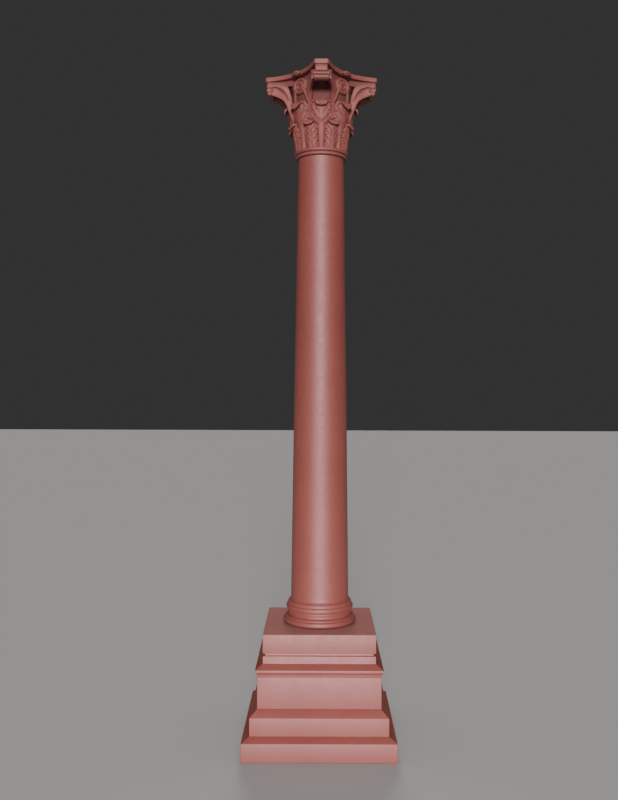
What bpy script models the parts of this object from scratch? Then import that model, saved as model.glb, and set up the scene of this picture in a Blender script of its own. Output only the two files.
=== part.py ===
"""Classical column: a smooth-shafted Corinthian column of stone on a stepped square pedestal.

Metres, +Z up. It stands on z = 0 with its axis on Z and the pedestal's front toward -Y. The capital is turned
so that a corner of its abacus points at each face of the pedestal.
"""

from bisect import bisect_right
from math import atan2, cos, hypot, pi, sin, sqrt

import bpy

# The whole column, from the ground to the top of its abacus. The shaft makes up what the other stones leave.
COLUMN_HEIGHT = 4.5789

# Blocks stand on each other with this much between their beds.
BED_GAP = 0.0003

# Pedestal, from the ground up: square blocks, given by half of their width.
STEP_LOWER_HALF = 0.5064
STEP_LOWER_RISE = 0.1222
STEP_LOWER_WASH_RISE = 0.0283
STEP_UPPER_HALF = 0.4553
STEP_UPPER_RISE = 0.1168
STEP_UPPER_WASH_RISE = 0.0446
DIE_HALF = 0.4079
DIE_HEIGHT = 0.2095
CAP_CAVETTO_OUT = 0.0121
CAP_CAVETTO_RISE = 0.0295
CAP_FILLET_HALF = 0.4222
CAP_FILLET_RISE = 0.0174
CAP_WASH_RISE = 0.0307
CAP_NECK_HALF = 0.3739
CAP_NECK_RISE = 0.0494
CAP_QUIRK_HALF = 0.3600
CAP_QUIRK_RISE = 0.0169
PLINTH_HALF = 0.3742
PLINTH_HEIGHT = 0.1246
ARRIS = 0.003

# Attic base, turned: two tori with a scotia between them.
BASE_TORUS_LOWER_RADIUS = 0.2530
BASE_TORUS_LOWER_RISE = 0.0430
BASE_FILLET_LOWER_RADIUS = 0.2360
BASE_FILLET_LOWER_RISE = 0.0080
BASE_SCOTIA_THROAT = 0.2190
BASE_SCOTIA_RISE = 0.0370
BASE_FILLET_UPPER_RADIUS = 0.2230
BASE_FILLET_UPPER_RISE = 0.0070
BASE_TORUS_UPPER_RADIUS = 0.2330
BASE_TORUS_UPPER_RISE = 0.0360
BASE_TOP_FILLET_RADIUS = 0.2200
BASE_TOP_FILLET_RISE = 0.0191

# Shaft, turned: a flared foot, then a slight swelling up to the neck.
SHAFT_FOOT_RADIUS = 0.2160
SHAFT_FLARE_RISE = 0.0380
SHAFT_LOWER_RADIUS = 0.2000
SHAFT_UPPER_RADIUS = 0.1590
SHAFT_ENTASIS = 0.0016

# Capital, carved from one block. Heights are above its bed, drops and the fleuron's rise from the abacus soffit.
NECK_RING_RADIUS = 0.1810
NECK_RING_RISE = 0.0240
NECK_COLLAR_RADIUS = 0.1850
NECK_COLLAR_RISE = 0.0260
NECK_COLLAR_EASE = 0.0060
BELL_FOOT_RADIUS = 0.1680
BELL_LIP_RADIUS = 0.2140
LEAF_FOOT = 0.0420
LEAF_FOOT_RADIUS = 0.1720
LOWER_LEAF_RISE = 0.1800
LOWER_LEAF_REACH = 0.0640
LOWER_LEAF_HALF_WIDTH = 0.0520
UPPER_LEAF_RISE = 0.3040
UPPER_LEAF_REACH = 0.0860
UPPER_LEAF_HALF_WIDTH = 0.0740
LEAF_COUNT = 8
STALK_RADIUS = 0.0130
STALK_TOP_RADIUS = 0.0210
STALK_FOOT = 0.1300
STALK_TOP = 0.3000
HELIX_DROP = 0.0250
HELIX_RADIUS = 0.0570
HELIX_FRONT = 0.2160
HELIX_BACK = 0.1700
HELIX_STEM_RADIUS = 0.0105
VOLUTE_TIP = 0.3870
VOLUTE_TIP_HALF_WIDTH = 0.0620
VOLUTE_THICKNESS = 0.0250
VOLUTE_SLOT_DEPTH = 0.0130
VOLUTE_DROP = 0.0480
ABACUS_SOFFIT = 0.4940
ABACUS_BAND = 0.0420
ABACUS_CROWN = 0.0290
ABACUS_TIP = 0.3890
ABACUS_CHAMFER_HALF = 0.0485
ABACUS_MIDDLE = 0.2320
ABACUS_BAND_TIP = 0.3810
ABACUS_BAND_CHAMFER_HALF = 0.0430
ABACUS_BAND_MIDDLE = 0.1960
FLEURON_RISE = 0.0520
FLEURON_OUT = 0.2450
FLEURON_HALF_WIDTH = 0.0370
FLEURON_HALF_HEIGHT = 0.0185
FLEURON_HALF_DEPTH = 0.0240

# Facets.
TURNED_SIDES = 26
BELL_SIDES = 20
MOULDING_FACETS = 3


def new_object(name, points, faces, colour, rough, helper=False):
    """A mesh object with its own stone material. A helper is left out of the render."""
    mesh = bpy.data.meshes.new(name)
    mesh.from_pydata(points, [], faces)
    mesh.validate()
    material = bpy.data.materials.new(name)
    material.use_nodes = True
    shader = material.node_tree.nodes["Principled BSDF"]
    shader.inputs["Base Color"].default_value = (*colour, 1.0)
    shader.inputs["Roughness"].default_value = rough
    mesh.materials.append(material)
    thing = bpy.data.objects.new(name, mesh)
    bpy.context.scene.collection.objects.link(thing)
    thing.hide_render = helper
    if helper:
        thing.display_type = "WIRE"
    return thing


def stacked(rings):
    """Points and faces of a closed body whose rings, all with as many points, lie one above the other."""
    sides = len(rings[0])
    points = [point for ring in rings for point in ring]
    faces = [list(range(sides))[::-1], [len(points) - sides + i for i in range(sides)]]
    for level in range(len(rings) - 1):
        low = level * sides
        for i in range(sides):
            j = (i + 1) % sides
            faces.append([low + i, low + j, low + sides + j, low + sides + i])
    return points, faces


def square_block(profile):
    """A block on the axis from (half width, height) pairs, lowest first."""
    corners = ((-1, -1), (1, -1), (1, 1), (-1, 1))
    return stacked([[(x * half, y * half, z) for x, y in corners] for half, z in profile])


def turned_body(profile, sides):
    """A body turned about the axis from (radius, height) pairs, lowest first."""
    turns = [2 * pi * i / sides for i in range(sides)]
    return stacked([[(radius * cos(a), radius * sin(a), z) for a in turns] for radius, z in profile])


def torus_profile(edge_radius, widest, low, rise):
    """The half-round edge of a torus, from its lower edge to its upper one."""
    out = widest - edge_radius
    steps = 2 * MOULDING_FACETS
    angles = [pi * (i / steps - 0.5) for i in range(steps + 1)]
    return [(edge_radius + out * cos(a), low + rise * (1 + sin(a)) / 2) for a in angles]


def hollow_profile(low_radius, throat, high_radius, low, rise):
    """A scotia: it runs in from the lower edge to the throat and out again to the upper edge."""
    found = []
    steps = 2 * MOULDING_FACETS
    for i in range(steps + 1):
        share = i / steps
        edge = low_radius + (high_radius - low_radius) * share
        found.append((edge - (edge - throat) * sin(pi * share) ** 0.75, low + rise * share))
    return found


def between(x, table):
    """Straight-line reading of a table of (x, value) pairs in rising x."""
    if x <= table[0][0]:
        return table[0][1]
    if x >= table[-1][0]:
        return table[-1][1]
    i = bisect_right([row[0] for row in table], x)
    (x0, y0), (x1, y1) = table[i - 1], table[i]
    return y0 + (y1 - y0) * (x - x0) / (x1 - x0)


def turned_round(points, angle):
    """Points written as (out, across, up) about the axis, turned to stand at this angle."""
    c, s = cos(angle), sin(angle)
    return [(out * c - across * s, out * s + across * c, up) for out, across, up in points]


def grid_body(front, back):
    """A closed body between two grids of points with the same rows and columns."""
    rows, columns = len(front), len(front[0])
    points = [point for grid in (front, back) for row in grid for point in row]
    behind = rows * columns
    faces = []
    for i in range(rows - 1):
        for j in range(columns - 1):
            a = i * columns + j
            b, c, d = a + 1, a + columns + 1, a + columns
            faces.append([a, b, c, d])
            faces.append([behind + a, behind + d, behind + c, behind + b])
    for i in range(rows - 1):
        a, d = i * columns, (i + 1) * columns
        faces.append([a, d, behind + d, behind + a])
        b, c = a + columns - 1, d + columns - 1
        faces.append([b, behind + b, behind + c, c])
    for j in range(columns - 1):
        faces.append([j, behind + j, behind + j + 1, j + 1])
        a = (rows - 1) * columns + j
        faces.append([a, a + 1, behind + a + 1, behind + a])
    return points, faces


# A leaf's rows from foot to tip: share of its rise, share of its reach, share of its half width,
# how far its edges fall back, thickness in front of the row's line and behind it.
LOWER_LEAF_ROWS = (
    (0.00, 0.00, 0.80, 0.006, 0.008, 0.020),
    (0.28, 0.14, 1.00, 0.004, 0.009, 0.026),
    (0.43, 0.23, 0.80, 0.012, 0.008, 0.030),
    (0.60, 0.34, 1.00, 0.004, 0.009, 0.037),
    (0.78, 0.46, 0.76, 0.009, 0.006, 0.009),
    (0.940, 0.69, 0.66, 0.004, 0.007, 0.008),
    (0.925, 0.88, 0.56, 0.004, 0.008, 0.007),
    (0.850, 0.94, 0.36, 0.002, 0.006, 0.004),
)
UPPER_LEAF_ROWS = (
    (0.00, 0.00, 0.35, 0.004, 0.008, 0.020),
    (0.30, 0.10, 0.38, 0.005, 0.008, 0.026),
    (0.50, 0.23, 0.56, 0.012, 0.008, 0.038),
    (0.63, 0.38, 1.00, 0.004, 0.009, 0.048),
    (0.73, 0.48, 0.76, 0.014, 0.008, 0.054),
    (0.84, 0.59, 0.88, 0.005, 0.007, 0.010),
    (0.970, 0.78, 0.54, 0.004, 0.009, 0.009),
    (0.955, 0.90, 0.50, 0.004, 0.009, 0.008),
    (0.880, 0.95, 0.34, 0.002, 0.007, 0.005),
)
LEAF_COLUMNS = ((-1.0, 0.0), (-0.5, -0.002), (0.0, 0.006), (0.5, -0.002), (1.0, 0.0))


def acanthus_leaf(rows, rise, reach, half_width):
    """A leaf that hugs the bell, leans out and curls over, with a midrib, furrows beside it and lobed edges."""
    line = [(LEAF_FOOT_RADIUS + reach * row[1], LEAF_FOOT + rise * row[0]) for row in rows]
    front, back = [], []
    for i, (_, _, width, fall, thick, behind) in enumerate(rows):
        before, after = line[max(i - 1, 0)], line[min(i + 1, len(line) - 1)]
        out, up = after[0] - before[0], after[1] - before[1]
        length = hypot(out, up)
        normal = (up / length, -out / length)
        radius, height = line[i]
        front_row, back_row = [], []
        for share, relief in LEAF_COLUMNS:
            across = share * width * half_width
            lift = thick + relief - fall * share * share
            for row, depth in ((front_row, lift), (back_row, -behind)):
                from_axis = radius + normal[0] * depth
                inward = from_axis - sqrt(max(from_axis**2 - across**2, 0.0))
                row.append((from_axis - inward, across, height + normal[1] * depth))
        front.append(front_row)
        back.append(back_row)
    return grid_body(front, back)


def tube(path, radii, sides):
    """A closed tube along (out, across, up) points, with a radius at each."""
    rings = []
    for i, (centre, radius) in enumerate(zip(path, radii)):
        before, after = path[max(i - 1, 0)], path[min(i + 1, len(path) - 1)]
        along = [b - a for a, b in zip(before, after)]
        length = sqrt(sum(a * a for a in along))
        along = [a / length for a in along]
        flat = hypot(along[0], along[2])
        first = (along[2] / flat, 0.0, -along[0] / flat)
        second = (
            along[1] * first[2] - along[2] * first[1],
            along[2] * first[0] - along[0] * first[2],
            along[0] * first[1] - along[1] * first[0],
        )
        ring = []
        for k in range(sides):
            a = 2 * pi * k / sides
            ring.append(tuple(centre[n] + radius * (first[n] * cos(a) + second[n] * sin(a)) for n in range(3)))
        rings.append(ring)
    return stacked(rings)


# The scroll under each abacus corner, seen from the side: upper edge (share from the bell to the tip, share from
# its foot to its top), the same for its lower edge, and how deep the slot between them is.
VOLUTE_FOOT = 0.2400
VOLUTE_ROOT = 0.1650
VOLUTE_ROWS = (
    ((0.05, 0.00), (0.13, 0.00), 0.0),
    ((0.14, 0.44), (0.31, 0.39), 0.0),
    ((0.22, 0.80), (0.50, 0.69), 1.0),
    ((0.30, 0.94), (0.62, 0.76), 1.0),
    ((0.46, 1.02), (0.71, 0.80), 1.0),
    ((0.68, 1.03), (0.79, 0.815), 0.4),
    ((0.90, 1.02), (0.89, 0.82), 0.0),
)
VOLUTE_SPREAD = ((0.18, 0.074), (0.20, 0.083), (0.22, 0.089), (0.25, 0.086), (0.30, 0.073), (0.35, 0.065))


def volute_half_width(out):
    """How far the outer face of a scroll stands from the corner's own plane, at a distance from the axis."""
    return between(out, (*VOLUTE_SPREAD, (VOLUTE_TIP, VOLUTE_TIP_HALF_WIDTH)))


def volute_side(hand):
    """One of the two scroll bands that run from the bell to a corner, with the slot in its outer face."""
    rings = []
    for upper, lower, slot in VOLUTE_ROWS:
        ends = []
        for share_out, share_up in (upper, lower):
            out = VOLUTE_ROOT + (VOLUTE_TIP - VOLUTE_ROOT) * share_out
            ends.append((out, VOLUTE_FOOT + (ABACUS_SOFFIT - VOLUTE_FOOT) * share_up))
        outer = []
        for share, depth in ((0.0, 0.0), (0.34, 0.0), (0.40, slot), (0.62, slot), (0.68, 0.0), (1.0, 0.0)):
            out, up = (a + (b - a) * share for a, b in zip(*ends))
            outer.append((out, volute_half_width(out) - depth * VOLUTE_SLOT_DEPTH, up))
        inner = [(out, volute_half_width(out) - VOLUTE_THICKNESS, up) for out, up in ends[::-1]]
        rings.append([(out, hand * across, up) for out, across, up in (*outer, *inner)][::-hand])
    return stacked(rings)


def volute_front():
    """The outward face where the two scroll bands meet, set back under the abacus: it carries a quirk across it."""
    drop = VOLUTE_DROP
    shape = (
        (0.046, 0.004, 1.00), (0.016, 0.004, 1.00), (0.014, -0.20 * drop, 0.99), (0.003, -0.31 * drop, 0.98),
        (0.007, -0.52 * drop, 0.94), (0.014, -0.62 * drop, 0.91), (0.011, -0.68 * drop, 0.90),
        (0.020, -0.92 * drop, 0.83), (0.031, -drop, 0.80), (0.046, -drop, 0.80),
    )
    rings = []
    for hand in (-1, 1):
        rings.append([
            (VOLUTE_TIP - back, hand * VOLUTE_TIP_HALF_WIDTH * width, ABACUS_SOFFIT + up) for back, up, width in shape
        ])
    return stacked(rings)


def helix_knot():
    """The round knot under a fleuron, where two inner scrolls meet: a rolled rim, a furrow and a hollow eye."""
    rim = (
        (0.85, HELIX_BACK), (1.00, HELIX_FRONT - 0.014), (0.82, HELIX_FRONT), (0.62, HELIX_FRONT - 0.009),
        (0.40, HELIX_FRONT - 0.005), (0.20, HELIX_FRONT - 0.012), (0.13, HELIX_FRONT - 0.028),
    )
    centre, sides = ABACUS_SOFFIT - HELIX_DROP, 10
    rings = []
    for share, out in rim:
        ring = []
        for k in range(sides):
            a = 2 * pi * k / sides
            ring.append((out, HELIX_RADIUS * share * 1.06 * cos(a), centre + HELIX_RADIUS * share * sin(a)))
        rings.append(ring)
    return stacked(rings)


def fleuron():
    """The flower on the middle of an abacus side, as a bud with four petals."""
    levels, sides = 4, 8
    rings = []
    for level in range(levels + 1):
        swing = pi * (0.06 + 0.88 * level / levels)
        ring = []
        for k in range(sides):
            a = 2 * pi * k / sides
            size = sin(swing) * (0.93 + 0.07 * cos(4 * a))
            ring.append((
                FLEURON_OUT - FLEURON_HALF_DEPTH * cos(swing),
                FLEURON_HALF_WIDTH * size * cos(a),
                ABACUS_SOFFIT + FLEURON_RISE + FLEURON_HALF_HEIGHT * size * sin(a),
            ))
        rings.append(ring)
    return stacked(rings)


def abacus_ring(tip, chamfer_half, middle, up):
    """The abacus outline at one height: four hollow sides, each an arc, that meet in cut corners."""
    chord_out, chord_half = (tip + chamfer_half) / sqrt(2), (tip - chamfer_half) / sqrt(2)
    sag = chord_out - middle
    half_angle = 2 * atan2(sag, chord_half)
    radius = chord_half / sin(half_angle)
    steps = 8
    ring = []
    for side in range(4):
        turn = pi / 4 + side * pi / 2
        for k in range(steps + 1):
            a = half_angle * (2 * k / steps - 1)
            out, across = middle + radius * (1 - cos(a)), radius * sin(a)
            ring.append((out * cos(turn) - across * sin(turn), out * sin(turn) + across * cos(turn), up))
    return ring


def abacus():
    """The abacus: a hollowed lower band under a projecting crown with an eased upper edge."""
    low, mid, high = ABACUS_SOFFIT, ABACUS_SOFFIT + ABACUS_BAND, ABACUS_SOFFIT + ABACUS_BAND + ABACUS_CROWN
    levels = ((0.0, low), (0.0, low + 0.86 * ABACUS_BAND), (0.86, mid), (1.0, mid + 0.5 * ABACUS_CROWN))
    rings = []
    for share, up in levels:
        rings.append(abacus_ring(
            ABACUS_BAND_TIP + (ABACUS_TIP - ABACUS_BAND_TIP) * share,
            ABACUS_BAND_CHAMFER_HALF + (ABACUS_CHAMFER_HALF - ABACUS_BAND_CHAMFER_HALF) * share,
            ABACUS_BAND_MIDDLE + (ABACUS_MIDDLE - ABACUS_BAND_MIDDLE) * share,
            up,
        ))
    for inset, up in ((0.0, high - ARRIS), (ARRIS, high)):
        rings.append(abacus_ring(ABACUS_TIP - inset, ABACUS_CHAMFER_HALF, ABACUS_MIDDLE - inset, up))
    return stacked(rings)


def bell():
    """The capital's core: a ring and collar at the neck, then the bell that widens to a lip under the abacus."""
    profile = [(NECK_RING_RADIUS - 0.010, 0.0)]
    profile += torus_profile(NECK_RING_RADIUS - 0.010, NECK_RING_RADIUS, 0.0, NECK_RING_RISE)[1:]
    ledge = NECK_RING_RISE + NECK_COLLAR_RISE
    for inset, share in ((NECK_COLLAR_EASE, 0.04), (0.0, 0.3), (0.0, 0.75), (NECK_COLLAR_EASE, 1.0)):
        profile.append((NECK_COLLAR_RADIUS - inset, NECK_RING_RISE + NECK_COLLAR_RISE * share))
    steps = 5
    for i in range(steps + 1):
        share = i / steps
        out = BELL_FOOT_RADIUS + (BELL_LIP_RADIUS - 0.006 - BELL_FOOT_RADIUS) * share**1.5
        profile.append((out, ledge + 0.001 + (ABACUS_SOFFIT - 0.022 - ledge) * share))
    profile += [(BELL_LIP_RADIUS, ABACUS_SOFFIT - 0.014), (BELL_LIP_RADIUS, ABACUS_SOFFIT + 0.006)]
    return turned_body(profile, BELL_SIDES)


def stalk():
    """The stalk between two upper leaves, which widens to the calyx that the scrolls come from."""
    path = []
    for out, share in ((0.004, 0.0), (0.012, 0.53), (0.020, 0.82), (0.026, 1.0)):
        path.append((BELL_FOOT_RADIUS + out, 0.0, STALK_FOOT + (STALK_TOP - STALK_FOOT) * share))
    return tube(path, (STALK_RADIUS, STALK_RADIUS, STALK_TOP_RADIUS, STALK_TOP_RADIUS * 0.8), 6)


def helix_stem(hand):
    """A stem from the stalk beside the middle of a side up to the round knot under the abacus."""
    low, high = STALK_TOP - 0.020, ABACUS_SOFFIT - HELIX_DROP - 0.029
    path = []
    for out, side, share in ((0.030, 1.00, 0.0), (0.020, 0.84, 0.375), (0.011, 0.64, 0.72), (0.003, 0.49, 1.0)):
        turn = side * pi / LEAF_COUNT
        radius = HELIX_FRONT - out
        path.append((radius * cos(turn), hand * radius * sin(turn), low + (high - low) * share))
    return tube(path, (HELIX_STEM_RADIUS,) * 4, 5)


def clear_scene():
    for thing in list(bpy.data.objects):
        bpy.data.objects.remove(thing)


def build_pedestal():
    """The five square blocks. Returns the height of the top bed."""
    level = 0.0
    low = level + STEP_LOWER_RISE
    top = low + STEP_LOWER_WASH_RISE
    block = square_block([
        (STEP_LOWER_HALF - ARRIS, level), (STEP_LOWER_HALF, level + ARRIS), (STEP_LOWER_HALF, low - ARRIS),
        (STEP_LOWER_HALF - ARRIS, low), (STEP_UPPER_HALF + ARRIS, top),
    ])
    new_object("step_lower", *block, (0.42, 0.20, 0.18), 0.45)

    level = top
    low = level + STEP_UPPER_RISE
    top = low + STEP_UPPER_WASH_RISE
    block = square_block([
        (STEP_UPPER_HALF, level + BED_GAP), (STEP_UPPER_HALF, low - ARRIS),
        (STEP_UPPER_HALF - ARRIS, low), (DIE_HALF + ARRIS, top),
    ])
    new_object("step_upper", *block, (0.41, 0.19, 0.175), 0.45)

    level = top
    top = level + DIE_HEIGHT
    block = square_block([(DIE_HALF, level + BED_GAP), (DIE_HALF, top)])
    new_object("pedestal_die", *block, (0.43, 0.21, 0.19), 0.45)

    level = top
    profile = []
    for i in range(MOULDING_FACETS + 1):
        a = pi / 2 * i / MOULDING_FACETS
        profile.append((DIE_HALF + CAP_CAVETTO_OUT * (1 - cos(a)), level + BED_GAP + CAP_CAVETTO_RISE * sin(a)))
    level += CAP_CAVETTO_RISE
    profile += [(CAP_FILLET_HALF, level + 2 * BED_GAP), (CAP_FILLET_HALF, level + CAP_FILLET_RISE)]
    level += CAP_FILLET_RISE + CAP_WASH_RISE
    profile += [(CAP_NECK_HALF, level), (CAP_NECK_HALF, level + CAP_NECK_RISE)]
    level += CAP_NECK_RISE
    profile += [(CAP_QUIRK_HALF, level + BED_GAP), (CAP_QUIRK_HALF, level + CAP_QUIRK_RISE)]
    new_object("pedestal_cap", *square_block(profile), (0.42, 0.20, 0.18), 0.45)

    level += CAP_QUIRK_RISE
    top = level + PLINTH_HEIGHT
    block = square_block([
        (PLINTH_HALF - ARRIS, level + BED_GAP), (PLINTH_HALF, level + BED_GAP + ARRIS),
        (PLINTH_HALF, top - ARRIS), (PLINTH_HALF - ARRIS, top),
    ])
    new_object("plinth", *block, (0.42, 0.195, 0.18), 0.42)
    return top


def build_base(level):
    """The turned base. Returns the height of its top bed."""
    start = level + BED_GAP
    profile = torus_profile(BASE_FILLET_LOWER_RADIUS, BASE_TORUS_LOWER_RADIUS, start, BASE_TORUS_LOWER_RISE)
    level = start + BASE_TORUS_LOWER_RISE + BASE_FILLET_LOWER_RISE
    profile += hollow_profile(
        BASE_FILLET_LOWER_RADIUS, BASE_SCOTIA_THROAT, BASE_FILLET_UPPER_RADIUS, level, BASE_SCOTIA_RISE
    )
    level += BASE_SCOTIA_RISE + BASE_FILLET_UPPER_RISE
    profile += torus_profile(BASE_FILLET_UPPER_RADIUS, BASE_TORUS_UPPER_RADIUS, level, BASE_TORUS_UPPER_RISE)
    level += BASE_TORUS_UPPER_RISE
    top = level + BASE_TOP_FILLET_RISE
    profile += [(BASE_TOP_FILLET_RADIUS, level + 0.001), (BASE_TOP_FILLET_RADIUS, top)]
    new_object("column_base", *turned_body(profile, TURNED_SIDES), (0.43, 0.20, 0.185), 0.38)
    return top


def build_shaft(level, top):
    """The shaft as one stone, from the base's top bed up to its own top bed."""
    start = level + BED_GAP
    profile = []
    for i in range(MOULDING_FACETS + 1):
        a = pi / 2 * i / MOULDING_FACETS
        out = SHAFT_LOWER_RADIUS + (SHAFT_FOOT_RADIUS - SHAFT_LOWER_RADIUS) * (1 - sin(a))
        profile.append((out, start + 0.004 + (SHAFT_FLARE_RISE - 0.004) * (1 - cos(a))))
    profile.insert(0, (SHAFT_FOOT_RADIUS, start))
    steps = 5
    body = top - start - SHAFT_FLARE_RISE
    for i in range(1, steps + 1):
        share = i / steps
        straight = SHAFT_LOWER_RADIUS + (SHAFT_UPPER_RADIUS - SHAFT_LOWER_RADIUS) * share
        profile.append((straight + SHAFT_ENTASIS * sin(pi * share), start + SHAFT_FLARE_RISE + body * share))
    new_object("shaft", *turned_body(profile, TURNED_SIDES), (0.43, 0.20, 0.185), 0.36)


def build_capital(level):
    """The capital: bell, leaves, stalks, scrolls, abacus and fleurons joined in one body."""
    capital = new_object("capital", *bell(), (0.40, 0.18, 0.165), 0.45)
    carving = bpy.data.collections.new("carving")
    bpy.context.scene.collection.children.link(carving)
    stone = (0.40, 0.18, 0.165)

    def add(name, shape, angle):
        points, faces = shape
        thing = new_object(name, turned_round(points, angle), faces, stone, 0.45, helper=True)
        thing.location.z = level
        bpy.context.scene.collection.objects.unlink(thing)
        carving.objects.link(thing)

    capital.location.z = level
    step = 2 * pi / LEAF_COUNT
    lower = acanthus_leaf(LOWER_LEAF_ROWS, LOWER_LEAF_RISE, LOWER_LEAF_REACH, LOWER_LEAF_HALF_WIDTH)
    upper = acanthus_leaf(UPPER_LEAF_ROWS, UPPER_LEAF_RISE, UPPER_LEAF_REACH, UPPER_LEAF_HALF_WIDTH)
    for i in range(LEAF_COUNT):
        add(f"lower_leaf_{i}", lower, (i + 0.5) * step)
        add(f"upper_leaf_{i}", upper, i * step)
        add(f"stalk_{i}", stalk(), (i + 0.5) * step)
    for i in range(4):
        corner, middle = i * pi / 2, (i + 0.5) * pi / 2
        for hand in (-1, 1):
            side = "left" if hand > 0 else "right"
            add(f"volute_{side}_{i}", volute_side(hand), corner)
            add(f"helix_stem_{side}_{i}", helix_stem(hand), middle)
        add(f"volute_front_{i}", volute_front(), corner)
        add(f"helix_{i}", helix_knot(), middle)
        add(f"fleuron_{i}", fleuron(), middle)
    add("abacus", abacus(), 0.0)
    union = capital.modifiers.new("carving", "BOOLEAN")
    union.operation = "UNION"
    union.solver = "EXACT"
    union.operand_type = "COLLECTION"
    union.collection = carving


clear_scene()
top_bed = build_pedestal()
top_bed = build_base(top_bed)
capital_bed = COLUMN_HEIGHT - ABACUS_SOFFIT - ABACUS_BAND - ABACUS_CROWN
build_shaft(top_bed, capital_bed - BED_GAP)
build_capital(capital_bed)
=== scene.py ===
"""The looks of a red stone Corinthian column on a stepped pedestal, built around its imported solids.

Every piece is a surface worked out with numpy in metres, in the same frame as the solids: +Z is up, the
column's axis is Z, the pedestal's front looks toward -Y, and a corner of the abacus points along each of
+X, +Y, -X and -Y.
"""

import logging
from dataclasses import dataclass
from enum import Enum
from typing import Any

import bmesh
import bpy
import numpy as np
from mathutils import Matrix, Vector


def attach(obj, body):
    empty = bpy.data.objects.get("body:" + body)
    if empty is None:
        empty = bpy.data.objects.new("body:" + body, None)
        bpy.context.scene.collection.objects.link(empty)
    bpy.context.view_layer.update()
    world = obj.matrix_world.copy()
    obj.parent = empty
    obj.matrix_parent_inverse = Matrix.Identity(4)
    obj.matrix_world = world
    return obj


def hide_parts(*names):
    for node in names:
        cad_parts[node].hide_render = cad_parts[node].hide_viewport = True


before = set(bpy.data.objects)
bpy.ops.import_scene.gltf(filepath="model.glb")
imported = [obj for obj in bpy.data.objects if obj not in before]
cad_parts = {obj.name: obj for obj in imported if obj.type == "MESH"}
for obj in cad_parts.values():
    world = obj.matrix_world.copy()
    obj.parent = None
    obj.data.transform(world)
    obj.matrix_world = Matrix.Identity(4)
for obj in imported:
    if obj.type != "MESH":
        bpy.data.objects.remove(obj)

log = logging.getLogger("column")
Array = np.ndarray

WELD_DISTANCE = 2e-6
LONGEST_EASE = 0.45


# Shapes


@dataclass
class Surface:
    """A mesh in the making: points, quads, triangles and how much painted shade each point takes."""

    points: Array
    quads: Array
    tris: Array
    hollow: Array

    @staticmethod
    def grid(points: Array, hollow: Array | None = None, ring: bool = False) -> "Surface":
        """A sheet of quads over a grid of points.

        Args:
            points: rows x columns x 3.
            hollow: rows x columns of painted shade, 0 on what stands out and 1 in the recesses.
            ring: joins the last column to the first.

        Returns:
            The open or joined sheet.
        """
        rows, columns = points.shape[:2]
        index = np.arange(rows * columns).reshape(rows, columns)
        if ring:
            index = np.concatenate([index, index[:, :1]], axis=1)
        corners = (index[:-1, :-1], index[:-1, 1:], index[1:, 1:], index[1:, :-1])
        quads = np.stack([c.ravel() for c in corners], axis=1)
        deep = np.zeros(rows * columns) if hollow is None else hollow.ravel()
        return Surface(points.reshape(-1, 3), quads, np.zeros((0, 3), int), deep)

    @staticmethod
    def joined(parts: "list[Surface]") -> "Surface":
        """Several surfaces as one.

        Args:
            parts: the surfaces, which need not touch.

        Returns:
            One surface with all their points and faces.
        """
        starts = np.cumsum([0] + [len(p.points) for p in parts])
        return Surface(
            np.concatenate([p.points for p in parts]),
            np.concatenate([p.quads + s for p, s in zip(parts, starts)]),
            np.concatenate([p.tris + s for p, s in zip(parts, starts)]),
            np.concatenate([p.hollow for p in parts]),
        )

    def capped(self, loop: Array) -> "Surface":
        """This surface with a fan of triangles over a closed loop of its points.

        Args:
            loop: the loop's point numbers, in the order that makes the fan face outward.

        Returns:
            The surface with the fan and its middle point added.
        """
        centre = self.points[loop].mean(axis=0)
        tip = len(self.points)
        fan = np.stack([loop, np.roll(loop, -1), np.full(len(loop), tip)], axis=1)
        return Surface(
            np.vstack([self.points, centre]),
            self.quads,
            np.vstack([self.tris, fan]),
            np.append(self.hollow, self.hollow[loop].mean()),
        )

    def ended(self, count: int) -> "Surface":
        """This surface of rings, count points each, with a cap over its first and its last ring."""
        last = len(self.points)
        return self.capped(np.arange(count)[::-1]).capped(np.arange(last - count, last))

    def turned(self, angle: float) -> "Surface":
        """This surface turned about the column's axis.

        Args:
            angle: the turn in radians, anticlockwise from above.

        Returns:
            The turned copy.
        """
        c, s = np.cos(angle), np.sin(angle)
        spin = np.array([[c, -s, 0.0], [s, c, 0.0], [0.0, 0.0, 1.0]])
        return Surface(self.points @ spin.T, self.quads, self.tris, self.hollow)

    def mirrored(self) -> "Surface":
        """This surface mirrored in the plane y = 0, its faces still outward."""
        return Surface(self.points * (1, -1, 1), self.quads[:, ::-1], self.tris[:, ::-1], self.hollow)

    def raised(self, height: float) -> "Surface":
        """This surface moved up."""
        return Surface(self.points + (0, 0, height), self.quads, self.tris, self.hollow)

    def around(self, count: int, first: float = 0.0) -> "Surface":
        """Copies of this surface, evenly spaced about the axis from a first angle on."""
        return Surface.joined([self.turned(first + 2 * np.pi * i / count) for i in range(count)])


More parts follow.
